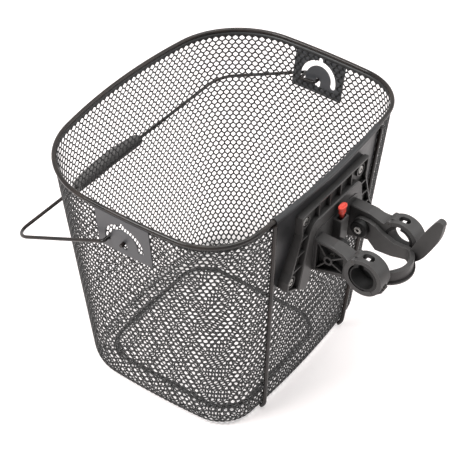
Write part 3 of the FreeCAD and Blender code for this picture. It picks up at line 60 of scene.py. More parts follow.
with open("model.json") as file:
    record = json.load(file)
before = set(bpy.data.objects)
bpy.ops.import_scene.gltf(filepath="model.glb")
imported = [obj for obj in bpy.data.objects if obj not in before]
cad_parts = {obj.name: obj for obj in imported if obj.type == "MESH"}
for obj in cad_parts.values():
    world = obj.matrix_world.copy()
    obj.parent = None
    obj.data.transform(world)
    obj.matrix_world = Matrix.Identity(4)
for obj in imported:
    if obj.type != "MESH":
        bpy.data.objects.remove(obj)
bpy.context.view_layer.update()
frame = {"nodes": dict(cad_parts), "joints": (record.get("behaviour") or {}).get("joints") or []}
NODES = frame["nodes"]

# ------------------------------------------------------------------ settings


class MeshSettings(bpy.types.PropertyGroup):
    """Expanded steel mesh of the walls and the floor."""

    cells_round: IntProperty(
        name="Openings round", default=140, min=20,
        description="Openings in one row round the basket")
    row_low: FloatProperty(
        name="Row spacing at the foot", default=0.0064, unit="LENGTH",
        description="Between two rows of openings near the floor")
    row_high: FloatProperty(
        name="Row spacing at the rim", default=0.00505, unit="LENGTH",
        description="Between two rows of openings under the rim")
    row_start: FloatProperty(
        name="First row", default=0.0015, unit="LENGTH",
        description="Rim to the middle of the highest row of openings")
    row_span: FloatProperty(
        name="Span of the row spacing", default=0.28, unit="LENGTH",
        description="Height over which the row spacing changes from the rim's to the foot's")
    lean: FloatProperty(
        name="Lean", default=0.036,
        description="How far the columns of openings lean, sideways per length up")
    strand: FloatProperty(
        name="Strand width", default=0.0018, unit="LENGTH",
        description="Width of the slanting metal between two openings")
    bond: FloatProperty(
        name="Bond width", default=0.0017, unit="LENGTH",
        description="Width of the metal where two strands meet")
    depth: FloatProperty(
        name="Strand depth", default=0.0014, unit="LENGTH",
        description="Thickness of a strand through the sheet")
    skin: FloatProperty(
        name="Half thickness", default=0.00080, unit="LENGTH",
        description="Outer face of the wall to the middle of a strand")
    floor_pitch: FloatProperty(
        name="Floor pitch", default=0.0074, unit="LENGTH",
        description="Between two openings of a row in the floor panel")
    floor_row: FloatProperty(
        name="Floor row spacing", default=0.0059, unit="LENGTH",
        description="Between two rows of openings in the floor panel")
    bend: FloatProperty(
        name="Bend radius", default=0.014, unit="LENGTH",
        description="Where the walls turn into the floor")


class PaintSettings(bpy.types.PropertyGroup):
    """Colours of the finishes."""

    mesh: FloatVectorProperty(
        name="Mesh", subtype="COLOR", size=3, default=(0.008, 0.008, 0.009),
        description="Paint on the wire mesh")
    wire: FloatVectorProperty(
        name="Wire", subtype="COLOR", size=3, default=(0.007, 0.0065, 0.0065),
        description="Paint on the rim, the rods and the bail")
    plate: FloatVectorProperty(
        name="Plates", subtype="COLOR", size=3, default=(0.050, 0.051, 0.055),
        description="Paint on the backing plate and the ears")
    plastic: FloatVectorProperty(
        name="Plastic", subtype="COLOR", size=3, default=(0.056, 0.054, 0.053),
        description="Moulded bracket, clamps and adapter")
    button: FloatVectorProperty(
        name="Button", subtype="COLOR", size=3, default=(0.93, 0.100, 0.072),
        description="Release button")
    screw: FloatVectorProperty(
        name="Screws", subtype="COLOR", size=3, default=(0.78, 0.77, 0.74),
        description="Plated screws and pins")


def mesh_settings():
    """Sizes of the expanded mesh."""
    return bpy.context.scene.basket_mesh


def paint_settings():
    """Colours of the finishes."""
    return bpy.context.scene.basket_paint


# ------------------------------------------------------------------ materials

EDGE_RADIUS = 0.0006          # how far the painted highlight spreads from an edge of plastic
EDGE_SAMPLES = 6
EDGE_HIGHLIGHT_START = 0.99            # agreement of rounded and true normals where the painted highlight starts
EDGE_HIGHLIGHT_FULL = 0.82              # and where it is complete
# Painted shade: the plastic's colour darkens where nearby faces hide the sky.
RECESS_REACH = 0.012          # how near the faces are that shade a recess
RECESS_SAMPLES = 8
RECESS_DARKEST = 0.12         # share of the colour left deep inside by the painted shade
RECESS_HIDDEN = 0.25          # open share of the sky that counts as deep inside
RECESS_OPEN = 0.85            # and as open
GRAIN_HEIGHT = 0.0002
PLATING_HEIGHT = 0.0001
PLATING_STRENGTH = 0.25
PLASTIC_SPECULAR = 0.25
PLASTIC_DARK_PATCH = 0.88     # shares of the plastic's colour in its cloudy patches
PLASTIC_PALE_PATCH = 1.3
MESH_SHEEN = 2.2              # share of the mesh's colour in its cloudy patches, a painted sheen


def new_material(name):
    """A material, its node tree, its surface shader and its coordinates."""
    material = bpy.data.materials.new(name)
    material.use_nodes = True
    tree = material.node_tree
    shader = tree.nodes["Principled BSDF"]
    coords = tree.nodes.new("ShaderNodeTexCoord")
    return material, tree, shader, coords


def noise(tree, coords, scale, detail=3.0, roughness=0.5):
    """Cloudy grey value, tied to the piece."""
    node = tree.nodes.new("ShaderNodeTexNoise")
    node.inputs["Scale"].default_value = scale
    node.inputs["Detail"].default_value = detail
    node.inputs["Roughness"].default_value = roughness
    tree.links.new(coords.outputs["Object"], node.inputs["Vector"])
    return node


def spread(tree, source, low, high, start=0.3, end=0.7):
    """Maps a grey value onto a range."""
    node = tree.nodes.new("ShaderNodeMapRange")
    node.inputs["From Min"].default_value = start
    node.inputs["From Max"].default_value = end
    node.inputs["To Min"].default_value = low
    node.inputs["To Max"].default_value = high
    tree.links.new(source.outputs[0], node.inputs["Value"])
    return node


def towards(tree, factor, colour):
    """A mixer that goes to a colour as a grey value rises."""
    node = tree.nodes.new("ShaderNodeMix")
    node.data_type = "RGBA"
    node.inputs["B"].default_value = (*colour, 1.0)
    tree.links.new(factor.outputs[0], node.inputs["Factor"])
    return node


def two_colours(tree, factor, first, second):
    """Mixes two colours by a grey value."""
    node = towards(tree, factor, second)
    node.inputs["A"].default_value = (*first, 1.0)
    return node.outputs["Result"]


def bump(tree, shader, height, strength, distance):
    """Lets a grey value tilt the shader's normal."""
    node = tree.nodes.new("ShaderNodeBump")
    node.inputs["Strength"].default_value = strength
    node.inputs["Distance"].default_value = distance
    tree.links.new(height.outputs[0], node.inputs["Height"])
    tree.links.new(node.outputs["Normal"], shader.inputs["Normal"])
    return node


def shade(colour, factor):
    """A darker or paler colour of the same hue."""
    return tuple(min(1.0, c * factor) for c in colour)


def powder_paint(name, colour, patch, smoothest, roughest, orange_peel, specular):
    """Stoved paint: patches of a second colour, fine orange peel, uneven gloss."""
    material, tree, shader, coords = new_material(name)
    clouds = noise(tree, coords, scale=38.0, detail=4.0)
    grain = noise(tree, coords, scale=900.0, detail=2.0)
    mixed = two_colours(tree, spread(tree, clouds, 0.0, 1.0), colour, patch)
    tree.links.new(mixed, shader.inputs["Base Color"])
    rough = spread(tree, clouds, smoothest, roughest)
    tree.links.new(rough.outputs[0], shader.inputs["Roughness"])
    bump(tree, shader, grain, orange_peel, GRAIN_HEIGHT)
    shader.inputs["Specular IOR Level"].default_value = specular
    return material


def highlit_edges(tree):
    """Grey value for a painted highlight, rising towards sharp edges, and the rounded normals
    behind it.
    """
    rounded = tree.nodes.new("ShaderNodeBevel")
    rounded.samples = EDGE_SAMPLES
    rounded.inputs["Radius"].default_value = EDGE_RADIUS
    true = tree.nodes.new("ShaderNodeNewGeometry")
    alike = tree.nodes.new("ShaderNodeVectorMath")
    alike.operation = "DOT_PRODUCT"
    tree.links.new(rounded.outputs["Normal"], alike.inputs[0])
    tree.links.new(true.outputs["Normal"], alike.inputs[1])
    edge = tree.nodes.new("ShaderNodeMapRange")
    edge.inputs["From Min"].default_value = EDGE_HIGHLIGHT_START
    edge.inputs["From Max"].default_value = EDGE_HIGHLIGHT_FULL
    tree.links.new(alike.outputs["Value"], edge.inputs["Value"])
    return edge, rounded


def painted_recess_shade(tree, colour, target):
    """Paints shade into a colour inside recesses and links it to a socket."""
    hidden = tree.nodes.new("ShaderNodeAmbientOcclusion")
    hidden.samples = RECESS_SAMPLES
    hidden.inputs["Distance"].default_value = RECESS_REACH
    amount = tree.nodes.new("ShaderNodeMapRange")
    amount.inputs["From Min"].default_value = RECESS_HIDDEN
    amount.inputs["From Max"].default_value = RECESS_OPEN
    amount.inputs["To Min"].default_value = RECESS_DARKEST
    tree.links.new(hidden.outputs["AO"], amount.inputs["Value"])
    scaled = tree.nodes.new("ShaderNodeVectorMath")
    scaled.operation = "SCALE"
    tree.links.new(colour, scaled.inputs[0])
    tree.links.new(amount.outputs[0], scaled.inputs["Scale"])
    tree.links.new(scaled.outputs[0], target)


def moulded_plastic(name, colour, smoothest, roughest, grain_scale, grain_strength,
                    edge_highlight=2.6):
    """Spark-eroded mould texture, with rubbed and slightly paler patches, a painted highlight on
    its edges and painted shade in its recesses.
    """
    material, tree, shader, coords = new_material(name)
    clouds = noise(tree, coords, scale=26.0, detail=5.0, roughness=0.6)
    grain = noise(tree, coords, grain_scale, detail=2.0)
    patches = spread(tree, clouds, 0.0, 1.0, start=0.35, end=0.75)
    mixed = two_colours(tree, patches, shade(colour, PLASTIC_DARK_PATCH),
                        shade(colour, PLASTIC_PALE_PATCH))
    # Paler edges are a painted highlight, and darker recesses are painted shade.
    edge, rounded = highlit_edges(tree)
    highlit = towards(tree, edge, shade(colour, edge_highlight))
    tree.links.new(mixed, highlit.inputs["A"])
    painted_recess_shade(tree, highlit.outputs["Result"], shader.inputs["Base Color"])
    rough = spread(tree, clouds, smoothest, roughest)
    tree.links.new(rough.outputs[0], shader.inputs["Roughness"])
    height = bump(tree, shader, grain, grain_strength, GRAIN_HEIGHT)
    tree.links.new(rounded.outputs["Normal"], height.inputs["Normal"])
    shader.inputs["Specular IOR Level"].default_value = PLASTIC_SPECULAR
    return material


def plated_metal(name, colour, stain, smoothest, roughest):
    """Zinc plate: spangled grey with duller stains."""
    material, tree, shader, coords = new_material(name)
    spots = noise(tree, coords, scale=260.0, detail=4.0, roughness=0.6)
    lines = noise(tree, coords, scale=1400.0, detail=1.0)
    mixed = two_colours(tree, spread(tree, spots, 0.0, 1.0), colour, stain)
    tree.links.new(mixed, shader.inputs["Base Color"])
    rough = spread(tree, spots, smoothest, roughest)
    tree.links.new(rough.outputs[0], shader.inputs["Roughness"])
    shader.inputs["Metallic"].default_value = 1.0
    bump(tree, shader, lines, PLATING_STRENGTH, PLATING_HEIGHT)
    return material


def mesh_paint_material():
    """The one paint that all the mesh shares."""
    if "mesh_paint" in bpy.data.materials:
        return bpy.data.materials["mesh_paint"]
    colour = tuple(paint_settings().mesh)
    # The paler cloudy patches are a painted sheen on the strands.
    return powder_paint("mesh_paint", colour, shade(colour, MESH_SHEEN), smoothest=0.30,
                        roughest=0.50, orange_peel=0.15, specular=0.20)


def paint_nodes(material, names):
    """Gives CAD nodes a finish."""
    for name in names:
        obj = NODES[name]
        obj.data.materials.clear()
        obj.data.materials.append(material)


def both_sides(*stems):
    """Names of the left and right nodes of each stem."""
    return tuple(stem + side for stem in stems for side in ("_left", "_right"))


# ------------------------------------------------------------------- geometry

CELL_CORNER = 0.76            # upper corner of a cell above its middle, in rows
RING_POINTS = 12              # round a cell: six corners and six edge middles
KEY_STEPS = 100               # grid on which cells share the points of their edges
HOLE_TIP = 0.94               # how far an opening's rounded corners reach, as shares
HOLE_SIDE = 0.95
HOLE_SHOULDER = 0.9

CONTOUR_RAYS = 720            # rays that find the wall's outline at one height
RAY_START = 0.4               # from the middle, outside the basket
RIM_TUCK = 0.0005             # top outline, under the wall's upper edge
BEND_START = 1.05             # lowest straight outline, in bend radii above the floor
ROUND_SAMPLES = 96
NORMAL_STEP = 0.002           # steps that give the sheet's slope

PANEL_CORNER_R = 0.034        # floor panel's rounded corners
PANEL_CORNER_STEPS = 10
SEAM_POINTS = 400


def mesh_object(name, points, faces, material, smooth=True):
    """A new object in the scene."""
    mesh = bpy.data.meshes.new(name)
    mesh.from_pydata(points, [], faces)
    mesh.validate()
    mesh.materials.append(material)
    if smooth:
        mesh.polygons.foreach_set("use_smooth", [True] * len(mesh.polygons))
    mesh.update()
    obj = bpy.data.objects.new(name, mesh)
    bpy.context.scene.collection.objects.link(obj)
    return obj


def dress(obj, node, body="basket"):
    """Puts a new piece in a CAD node's place."""
    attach(obj, body)
    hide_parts(node)


def surface_of(node):
    """A ray-castable copy of a CAD node's surface."""
    mesh = NODES[node].data
    return BVHTree.FromPolygons([v.co.copy() for v in mesh.vertices],
                                [tuple(p.vertices) for p in mesh.polygons])


def resample(loop, count):
    """A closed loop of points, evenly spaced along its length."""
    loop = np.asarray(loop)
    closed = np.vstack([loop, loop[:1]])
    steps = np.linalg.norm(np.diff(closed, axis=0), axis=1)
    lengths = np.concatenate([[0.0], np.cumsum(steps)])
    targets = lengths[-1] * np.arange(count) / count
    return np.stack([np.interp(targets, lengths, closed[:, i]) for i in range(3)], axis=1)


def wall_contour(surface, z, count):
    """The wall's outer face at a height, from the middle of the rear side."""
    loop = []
    for i in range(CONTOUR_RAYS):
        angle = -math.pi / 2 + 2 * math.pi * i / CONTOUR_RAYS
        way = Vector((math.cos(angle), math.sin(angle), 0.0))
        hit = surface.ray_cast(way * RAY_START + Vector((0, 0, z)), -way)[0]
        if hit is None:
            raise RuntimeError("the wall has no outline at %.4f" % z)
        loop.append(tuple(hit))
    return resample(loop, count)


def unit(vectors):
    """The same directions, each of length one."""
    return vectors / np.linalg.norm(vectors, axis=-1, keepdims=True)


def sideways(path):
    """Level directions across a closed path."""
    ahead = np.roll(path, -1, axis=0) - np.roll(path, 1, axis=0)
    return unit(np.stack([ahead[:, 1], -ahead[:, 0], np.zeros(len(path))], axis=1))


class WallSheet:
    """The wall's outer face: a share of the way round, and a distance down from the rim.

    Its last outline lies on the ground, inset from where the walls have turned in.
    """

    STEPS = 560                         # points round an outline
    BEND_TURNS = (15, 30, 45, 60, 75)   # degrees into the bend at each outline

    def __init__(self, bend, inset):
        surface = surface_of("wall_mesh")
        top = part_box("wall_mesh")[1].z - RIM_TUCK
        heights = [top, bend * BEND_START]
        heights += [bend * (1 - math.sin(math.radians(turn))) for turn in self.BEND_TURNS]
        loops = [wall_contour(surface, z, self.STEPS) for z in heights]
        under = loops[-1] * (1, 1, 0)
        centre = under.mean(axis=0)
        loops.append(under + unit(centre - under) * inset)
        self.loops = np.array(loops)
        steps = np.linalg.norm(np.diff(self.loops, axis=0), axis=2).mean(axis=1)
        self.drops = np.concatenate([[0.0], np.cumsum(steps)])
        self.length = self.drops[-1]

    def place(self, share, drop):
        """Points on the face."""
        last = len(self.drops) - 2
        k = np.clip(np.searchsorted(self.drops, drop, side="right") - 1, 0, last)
        down = ((drop - self.drops[k]) / (self.drops[k + 1] - self.drops[k]))[..., None]
        along = (share % 1.0) * self.STEPS
        i = along.astype(int) % self.STEPS
        j = (i + 1) % self.STEPS
        t = (along - np.floor(along))[..., None]
        upper = self.loops[k, i] * (1 - t) + self.loops[k, j] * t
        lower = self.loops[k + 1, i] * (1 - t) + self.loops[k + 1, j] * t
        return upper * (1 - down) + lower * down

    def normal(self, share, drop):
        """Outward directions."""
        step = NORMAL_STEP
        side = self.place(share + step, drop) - self.place(share - step, drop)
        up = self.place(share, drop - step) - self.place(share, drop + step)
        return unit(np.cross(side, up))

    def round(self, drop):
        """Length of the way round at a distance down."""
        share = np.arange(ROUND_SAMPLES) / ROUND_SAMPLES
        points = self.place(share, np.full(ROUND_SAMPLES, drop))
        return np.linalg.norm(points - np.roll(points, 1, axis=0), axis=1).sum()


class FlatSheet:
    """The floor as a sheet that faces the ground."""

    def place(self, x, y):
        """Points on the ground."""
        return np.stack([x, y, np.zeros_like(x)], axis=-1)

    def normal(self, x, y):
        """Directions down."""
        return np.broadcast_to((0.0, 0.0, -1.0), (*np.shape(x), 3))


def cell_ring():
    """Points round a cell of the staggered lattice, in pitches and rows."""
    top, shoulder = CELL_CORNER, 1 - CELL_CORNER
    corners = [(0, top), (0.5, shoulder), (0.5, -shoulder), (0, -top), (-0.5, -shoulder),
               (-0.5, shoulder)]
    ring = []
    for a, b in zip(corners, corners[1:] + corners[:1]):
        ring += [a, ((a[0] + b[0]) / 2, (a[1] + b[1]) / 2)]
    return np.array(ring)


def hole_ring(pitch, row, strand, bond):
    """Points round the opening of a cell, with its corners rounded a little."""
    run, fall = pitch / 2, row * (2 * CELL_CORNER - 1)
    side = run - bond / 2
    top = row * CELL_CORNER - strand / 2 * math.hypot(run, fall) / run
    shoulder = top - side * fall / run
    near_side, near_shoulder = side * HOLE_SIDE, shoulder * HOLE_SHOULDER
    slant = (top + shoulder) / 2
    half = [(0.0, top * HOLE_TIP), (side / 2, slant), (near_side, near_shoulder),
            (side, 0.0), (near_side, -near_shoulder), (side / 2, -slant)]
    return np.array(half + [(-x, -y) for x, y in half])


def expanded_mesh(sheet, cells, to_sheet, hole_of, mesh, wrap=0):
    """Points and faces of the strands round the cells, as one closed skin.

    cells holds (column, row) numbers. to_sheet turns lattice numbers into the sheet's
    own, and hole_of gives the opening's points there. mesh holds the settings, and wrap
    is the number of columns where the last one meets the first. The skin lies inside
    the sheet.
    """
    ring = cell_ring()
    columns = cells[:, 0, None] + ring[:, 0]
    rows = cells[:, 1, None] - ring[:, 1]
    keys = np.stack([np.rint(columns * KEY_STEPS), np.rint(rows * KEY_STEPS)], axis=-1)
    if wrap:
        keys[..., 0] %= wrap * KEY_STEPS
    flat, first, shared = np.unique(keys.reshape(-1, 2), axis=0, return_index=True,
                                    return_inverse=True)
    shared = shared.reshape(keys.shape[:2])
    edge_u, edge_v = to_sheet(columns.reshape(-1)[first], rows.reshape(-1)[first])
    hole_u, hole_v = hole_of(cells)
    middle = -mesh.skin
    half = mesh.depth / 2
    edge, away = sheet.place(edge_u, edge_v), sheet.normal(edge_u, edge_v)
    hole, hole_away = sheet.place(hole_u, hole_v), sheet.normal(hole_u, hole_v)
    points = np.concatenate([edge + away * (middle + half), edge + away * (middle - half),
                             (hole + hole_away * middle).reshape(-1, 3)])
    count = len(flat)
    holes = 2 * count + np.arange(len(cells) * RING_POINTS).reshape(-1, RING_POINTS)
    beyond = np.roll(shared, -1, axis=1)
    holes_beyond = np.roll(holes, -1, axis=1)
    outer = np.stack([holes, holes_beyond, beyond, shared], axis=-1)
    inner = np.stack([shared + count, beyond + count, holes_beyond, holes], axis=-1)
    return points, np.concatenate([outer.reshape(-1, 4), inner.reshape(-1, 4)])


def strip_faces(rings, around):
    """Quads between closed rings of points."""
    k, i = np.meshgrid(np.arange(rings - 1), np.arange(around), indexing="ij")
    j = (i + 1) % around
    quads = np.stack([k * around + i, (k + 1) * around + i, (k + 1) * around + j,
                      k * around + j], axis=-1)
    return quads.reshape(-1, 4)


def tube(path, radius, sides, points, faces, closed=True):
    """Adds a round tube along a level path to points and faces."""
    base = len(points)
    count = len(path)
    ahead = np.roll(path, -1, axis=0) - np.roll(path, 1, axis=0)
    if not closed:
        ahead[0], ahead[-1] = path[1] - path[0], path[-1] - path[-2]
    side = unit(np.stack([ahead[:, 1], -ahead[:, 0], np.zeros(count)], axis=1))
    for p, away in zip(path, side):
        for s in range(sides):
            angle = math.tau * s / sides
            points.append(p + away * radius * math.cos(angle)
                          + np.array((0, 0, radius * math.sin(angle))))
    for i in range(count if closed else count - 1):
        for s in range(sides):
            t = (s + 1) % sides
            j = (i + 1) % count
            faces.append((base + i * sides + s, base + i * sides + t,
                          base + j * sides + t, base + j * sides + s))


def seam_path():
    """Closed path along the middle of the floor's seam."""
    low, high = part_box("floor_mesh")
    radius = PANEL_CORNER_R
    centres = [(high.x - radius, high.y - radius, 0), (low.x + radius, high.y - radius, 90),
               (low.x + radius, low.y + radius, 180), (high.x - radius, low.y + radius, 270)]
    path = []
    for x, y, start in centres:
        for i in range(PANEL_CORNER_STEPS + 1):
            angle = math.radians(start + 90 * i / PANEL_CORNER_STEPS)
            path.append((x + radius * math.cos(angle), y + radius * math.sin(angle), 0.0))
    return resample(path, SEAM_POINTS)


def inside(path, points):
    """True for the points inside a closed path."""
    within = np.zeros(len(points), dtype=bool)
    x, y = points[:, 0], points[:, 1]
    for a, b in zip(path, np.roll(path, -1, axis=0)):
        if a[1] != b[1]:
            crossing = a[0] + (y - a[1]) * (b[0] - a[0]) / (b[1] - a[1])
            within ^= ((a[1] > y) != (b[1] > y)) & (x < crossing)
    return within


# ------------------------------------------------- operators: mesh and seam

EAR_MARGIN = 0.004            # mesh this near the ears' faces counts as behind them
SLOT_CLEAR = 0.0262           # round the bail's pivot, free of mesh
ARCH_FOOT = 0.010             # arched slot's ends, below the pivot
NOTCH_HALF_WIDTH = 0.006      # notch at the top of the arch
NOTCH_TOP = 0.032

WALL_TURNED_IN = 0.004        # walls' lowest edge, inwards on the ground
FLANGE_TURNED_IN = 0.002
LOWEST_ROW = 0.001            # kept free above the walls' lowest edge

HEM_STEPS = 700
SCALLOP = 0.0005              # waves of the hem's lower edge, left by the openings
SCALLOP_FROM = 0.003          # the waves start this far down
HEM_LAP = 0.0012              # hem's outer leaf, down from the sheet's top
HEM_CREST = -0.0006           # and the fold, above it
HEM_BULGE = 0.0006            # fold's inner side, past the strands
# Hem's inner leaf: past the strands, and down from the sheet's top.
HEM_INNER = ((0.0008, 0.0022), (0.0004, 0.0034), (0.0, 0.0038))

SEAM_LIFT = 0.0024
# Rolled edges of the panel and the walls: place across the seam, and radius.
SEAM_ROLLS = ((-0.0016, 0.0013), (0.0014, 0.0010))
ROLL_SIDES = 6
SEAM_WAVE = 0.0003            # sideways waver of the rolls
SEAM_WAVE_RATE = 1.1
STITCH_COUNT = 130            # folded strand ends
STITCH_INNER = 0.0026         # their ends, either side of the seam
STITCH_OUTER = 0.0022
STITCH_SLANT = 0.0012
STITCH_RISE = 0.0010
STITCH_R = 0.0006
STITCH_SIDES = 5
STITCH_POINTS = 5


def frame_joint(name):
    """Where a joint's axis stands."""
    for joint in frame["joints"]:
        if joint["name"] == name:
            return Vector(joint["pos_m"])
    raise RuntimeError("no joint called " + name)


def row_drop(mesh, row):
    """Distance down from the rim of a row, as the rows spread towards the foot."""
    spread_rate = (mesh.row_low - mesh.row_high) / mesh.row_span
    return mesh.row_start + mesh.row_high / spread_rate * (np.exp(spread_rate * row) - 1)


def row_spacing(mesh, row):
    """Height of a row."""
    return row_drop(mesh, row + 0.5) - row_drop(mesh, row - 0.5)


def clear_of_slots(points, pivot):
    """False where the mesh is cut away behind an ear's slot."""
    near_ear = np.abs(points[:, 0]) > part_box("ear_plate_right")[0].x - EAR_MARGIN
    across, up = points[:, 1] - pivot.y, points[:, 2] - pivot.z
    arch = (np.hypot(across, up) < SLOT_CLEAR) & (up > -ARCH_FOOT)
    notch = (np.abs(across) < NOTCH_HALF_WIDTH) & (up > 0) & (up < NOTCH_TOP)
    return ~(near_ear & (arch | notch))


class BASKET_OT_walls(bpy.types.Operator):
    """Walls: expanded mesh, drawn round the basket and turned in at the foot."""

    bl_idname = "basket.walls"
    bl_label = "Mesh walls"

    def execute(self, context):
        mesh = mesh_settings()
        sheet = WallSheet(mesh.bend, WALL_TURNED_IN)
        count = mesh.cells_round
        cells = []
        row = 0
        while row_drop(mesh, row) < sheet.length - LOWEST_ROW:
            cells += [(i + 0.5 * (row % 2), row) for i in range(count)]
            row += 1
        cells = np.array(cells)

        def to_sheet(columns, rows):
            drop = row_drop(mesh, rows)
            return columns / count - mesh.lean * drop, drop

        places = sheet.place(*to_sheet(cells[:, 0], cells[:, 1]))
        cells = cells[clear_of_slots(places, frame_joint("bail_lift"))]

        def hole_of(chosen):
            share = np.empty((len(chosen), RING_POINTS))
            drop = np.empty((len(chosen), RING_POINTS))
            for number in np.unique(chosen[:, 1]):
                these = chosen[:, 1] == number
                middle = row_drop(mesh, number)
                around = sheet.round(middle)
                hole = hole_ring(around / count, row_spacing(mesh, number), mesh.strand,
                                 mesh.bond)
                start = to_sheet(chosen[these, 0], number)[0]
                share[these] = start[:, None] + hole[:, 0] / around
                drop[these] = middle - hole[:, 1]
            return share, drop

        points, faces = expanded_mesh(sheet, cells, to_sheet, hole_of, mesh, wrap=count)
        obj = mesh_object("mesh_walls", points, faces, mesh_paint_material())
        dress(obj, "wall_mesh")
        self.hem(sheet, mesh)
        return {"FINISHED"}

    def hem(self, sheet, mesh):
        """The mesh's edge, folded at the rim and pressed flat on both faces."""
        share = np.arange(HEM_STEPS) / HEM_STEPS
        scallop = SCALLOP * np.cos(share * math.tau * mesh.cells_round)
        inner = -mesh.skin - mesh.depth / 2
        outer = mesh.depth / 2 - mesh.skin
        profile = [(outer, HEM_LAP), (outer, HEM_CREST), (inner - HEM_BULGE, HEM_CREST)]
        profile += [(inner - past, drop) for past, drop in HEM_INNER]
        rings = []
        for away, drop in profile[::-1]:
            place = np.full(HEM_STEPS, drop) + (scallop if drop > SCALLOP_FROM else 0.0)
            rings.append(sheet.place(share, place) + sheet.normal(share, place) * away)
        faces = strip_faces(len(profile), HEM_STEPS)
        obj = mesh_object("mesh_hem", np.concatenate(rings), faces, mesh_paint_material())
        dress(obj, "wall_mesh")


class BASKET_OT_floor(bpy.types.Operator):
    """Floor: a separate mesh panel, with the walls' edge turned in under it."""

    bl_idname = "basket.floor"
    bl_label = "Mesh floor"

    def execute(self, context):
        mesh = mesh_settings()
        pitch, row = mesh.floor_pitch, mesh.floor_row
        low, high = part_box("wall_mesh")
        columns = math.ceil((high.x - low.x) / pitch)
        rows = math.ceil((high.y - low.y) / row)
        cells = np.array([(i + 0.5 * (k % 2), k) for k in range(rows) for i in range(columns)])

        def to_sheet(across, along):
            return low.x + across * pitch, high.y - along * row

        hole = hole_ring(pitch, row, mesh.strand, mesh.bond)

        def hole_of(chosen):
            x, y = to_sheet(chosen[:, 0], chosen[:, 1])
            return x[:, None] + hole[:, 0], y[:, None] + hole[:, 1]

        middles = np.stack(to_sheet(cells[:, 0], cells[:, 1]), axis=1)
        in_panel = inside(seam_path(), middles)
        edge = WallSheet(mesh.bend, FLANGE_TURNED_IN).loops[-1]
        in_edge = inside(edge, middles) & ~in_panel
        for name, node, chosen in (("mesh_floor", "floor_mesh", in_panel),
                                   ("mesh_flange", "wall_mesh", in_edge)):
            points, faces = expanded_mesh(FlatSheet(), cells[chosen], to_sheet, hole_of, mesh)
            obj = mesh_object(name, points, faces, mesh_paint_material())
            dress(obj, node)
        return {"FINISHED"}


class BASKET_OT_seam(bpy.types.Operator):
    """Seam: the panel's rolled edge and the strand ends folded over it."""

    bl_idname = "basket.seam"
    bl_label = "Floor seam"

    def execute(self, context):
        points, faces = [], []
        self.rolls(points, faces)
        self.stitches(points, faces)
        obj = mesh_object("floor_hem", points, faces, mesh_paint_material())
        dress(obj, "floor_seam")
        return {"FINISHED"}

    def rolls(self, points, faces):
        """Two rolled edges, side by side."""
        path = seam_path()
        lift = np.array((0, 0, SEAM_LIFT))
        wave = SEAM_WAVE * np.sin(np.arange(len(path)) * SEAM_WAVE_RATE)[:, None]
        for offset, radius in SEAM_ROLLS:
            tube(path + sideways(path) * (offset + wave) + lift, radius, ROLL_SIDES,
                 points, faces)

    def stitches(self, points, faces):
        """Strand ends, each arched over both rolls."""
        path = resample(seam_path(), STITCH_COUNT)
        outward = sideways(path)
        along = np.stack([-outward[:, 1], outward[:, 0], np.zeros(STITCH_COUNT)], axis=1)
        lift = np.array((0, 0, SEAM_LIFT))
        share = np.linspace(0, 1, STITCH_POINTS)[:, None]
        rise = np.array((0, 0, STITCH_RISE)) * np.sin(math.pi * share)
        for p, away, ahead in zip(path, outward, along):
            start = p - away * STITCH_INNER + lift - ahead * STITCH_SLANT
            end = p + away * STITCH_OUTER + lift + ahead * STITCH_SLANT
            tube(start * (1 - share) + end * share + rise, STITCH_R, STITCH_SIDES,
                 points, faces, closed=False)


# --------------------------------------- operators: wire, plates and plastics

WIRE_BROWN_REFLECTION = (0.030, 0.022, 0.018)      # warm cloudy patches in the wire's paint, a painted brown reflection
EAR_PATCH = 1.25              # shares of the plates' colour
# The backing plate's darker copy of the plates' paint is painted shade.
BACK_PAINTED_SHADE = 0.3
BACK_SHADED_PATCH = 0.45

# Finish, share of the plastic's colour, smoothest and roughest gloss, scale and strength
# of the grain, and the nodes.
PLASTICS = (
    ("bracket_plastic", 1.0, 0.34, 0.52, 1100.0, 0.18,
     ("bracket_body", "stabiliser_bow", "latch_pawl") + both_sides("arm", "clamp_cap")),
    ("adapter_plastic", 1.05, 0.30, 0.50, 900.0, 0.15, ("adapter_plate",)),
    ("spacer_plastic", 0.25, 0.45, 0.65, 1300.0, 0.20, both_sides("bar_spacer")),
    ("pad_plastic", 0.10, 0.40, 0.60, 1300.0, 0.20, both_sides("pivot_pad")),
    ("grip_plastic", 2.2, 0.48, 0.70, 700.0, 0.50, ("bail_grip",)),
)

BUTTON_SIDES = 40
BUTTON_SQUARENESS = 0.8       # 1 gives an oval outline, less squares it
# Button from its top down: depth below the top, share of its half width and half depth.
BUTTON_SECTIONS = ((0.0011, 0.40, 0.40), (0.0007, 0.72, 0.66), (0.0, 0.88, 0.80),
                   (0.0004, 0.98, 0.94), (0.0015, 1.0, 1.0), (0.0026, 0.97, 0.97),
                   (0.0036, 0.84, 0.93), (0.0048, 0.74, 0.90), (0.0064, 0.72, 0.90),
                   (0.0082, 0.74, 0.92), (0.0092, 0.66, 0.84), (0.0096, 0.50, 0.66))

BRIGHT_STAIN = 0.45           # shares of the screws' colour
DULL_SHADE = 0.5
DULL_STAIN = 0.16
BLACK_SCREW = (0.020, 0.019, 0.018)
BLACK_SCREW_PATCH = (0.045, 0.036, 0.030)
SOCKET_R = 0.0018             # dark middle of a pivot screw's head, painted shade in its socket


class BASKET_OT_wirework(bpy.types.Operator):
    """Rim, rods and bail wire: gloss black paint."""

    bl_idname = "basket.wirework"
    bl_label = "Wirework"

    def execute(self, context):
        colour = tuple(paint_settings().wire)
        # The warm cloudy patches are a painted brown reflection.
        paint = powder_paint("wire_paint", colour, WIRE_BROWN_REFLECTION, smoothest=0.16,
                             roughest=0.28, orange_peel=0.10, specular=0.30)
        paint_nodes(paint, ("rim_wire", "bail_wire") + both_sides("rear_rod"))
        return {"FINISHED"}


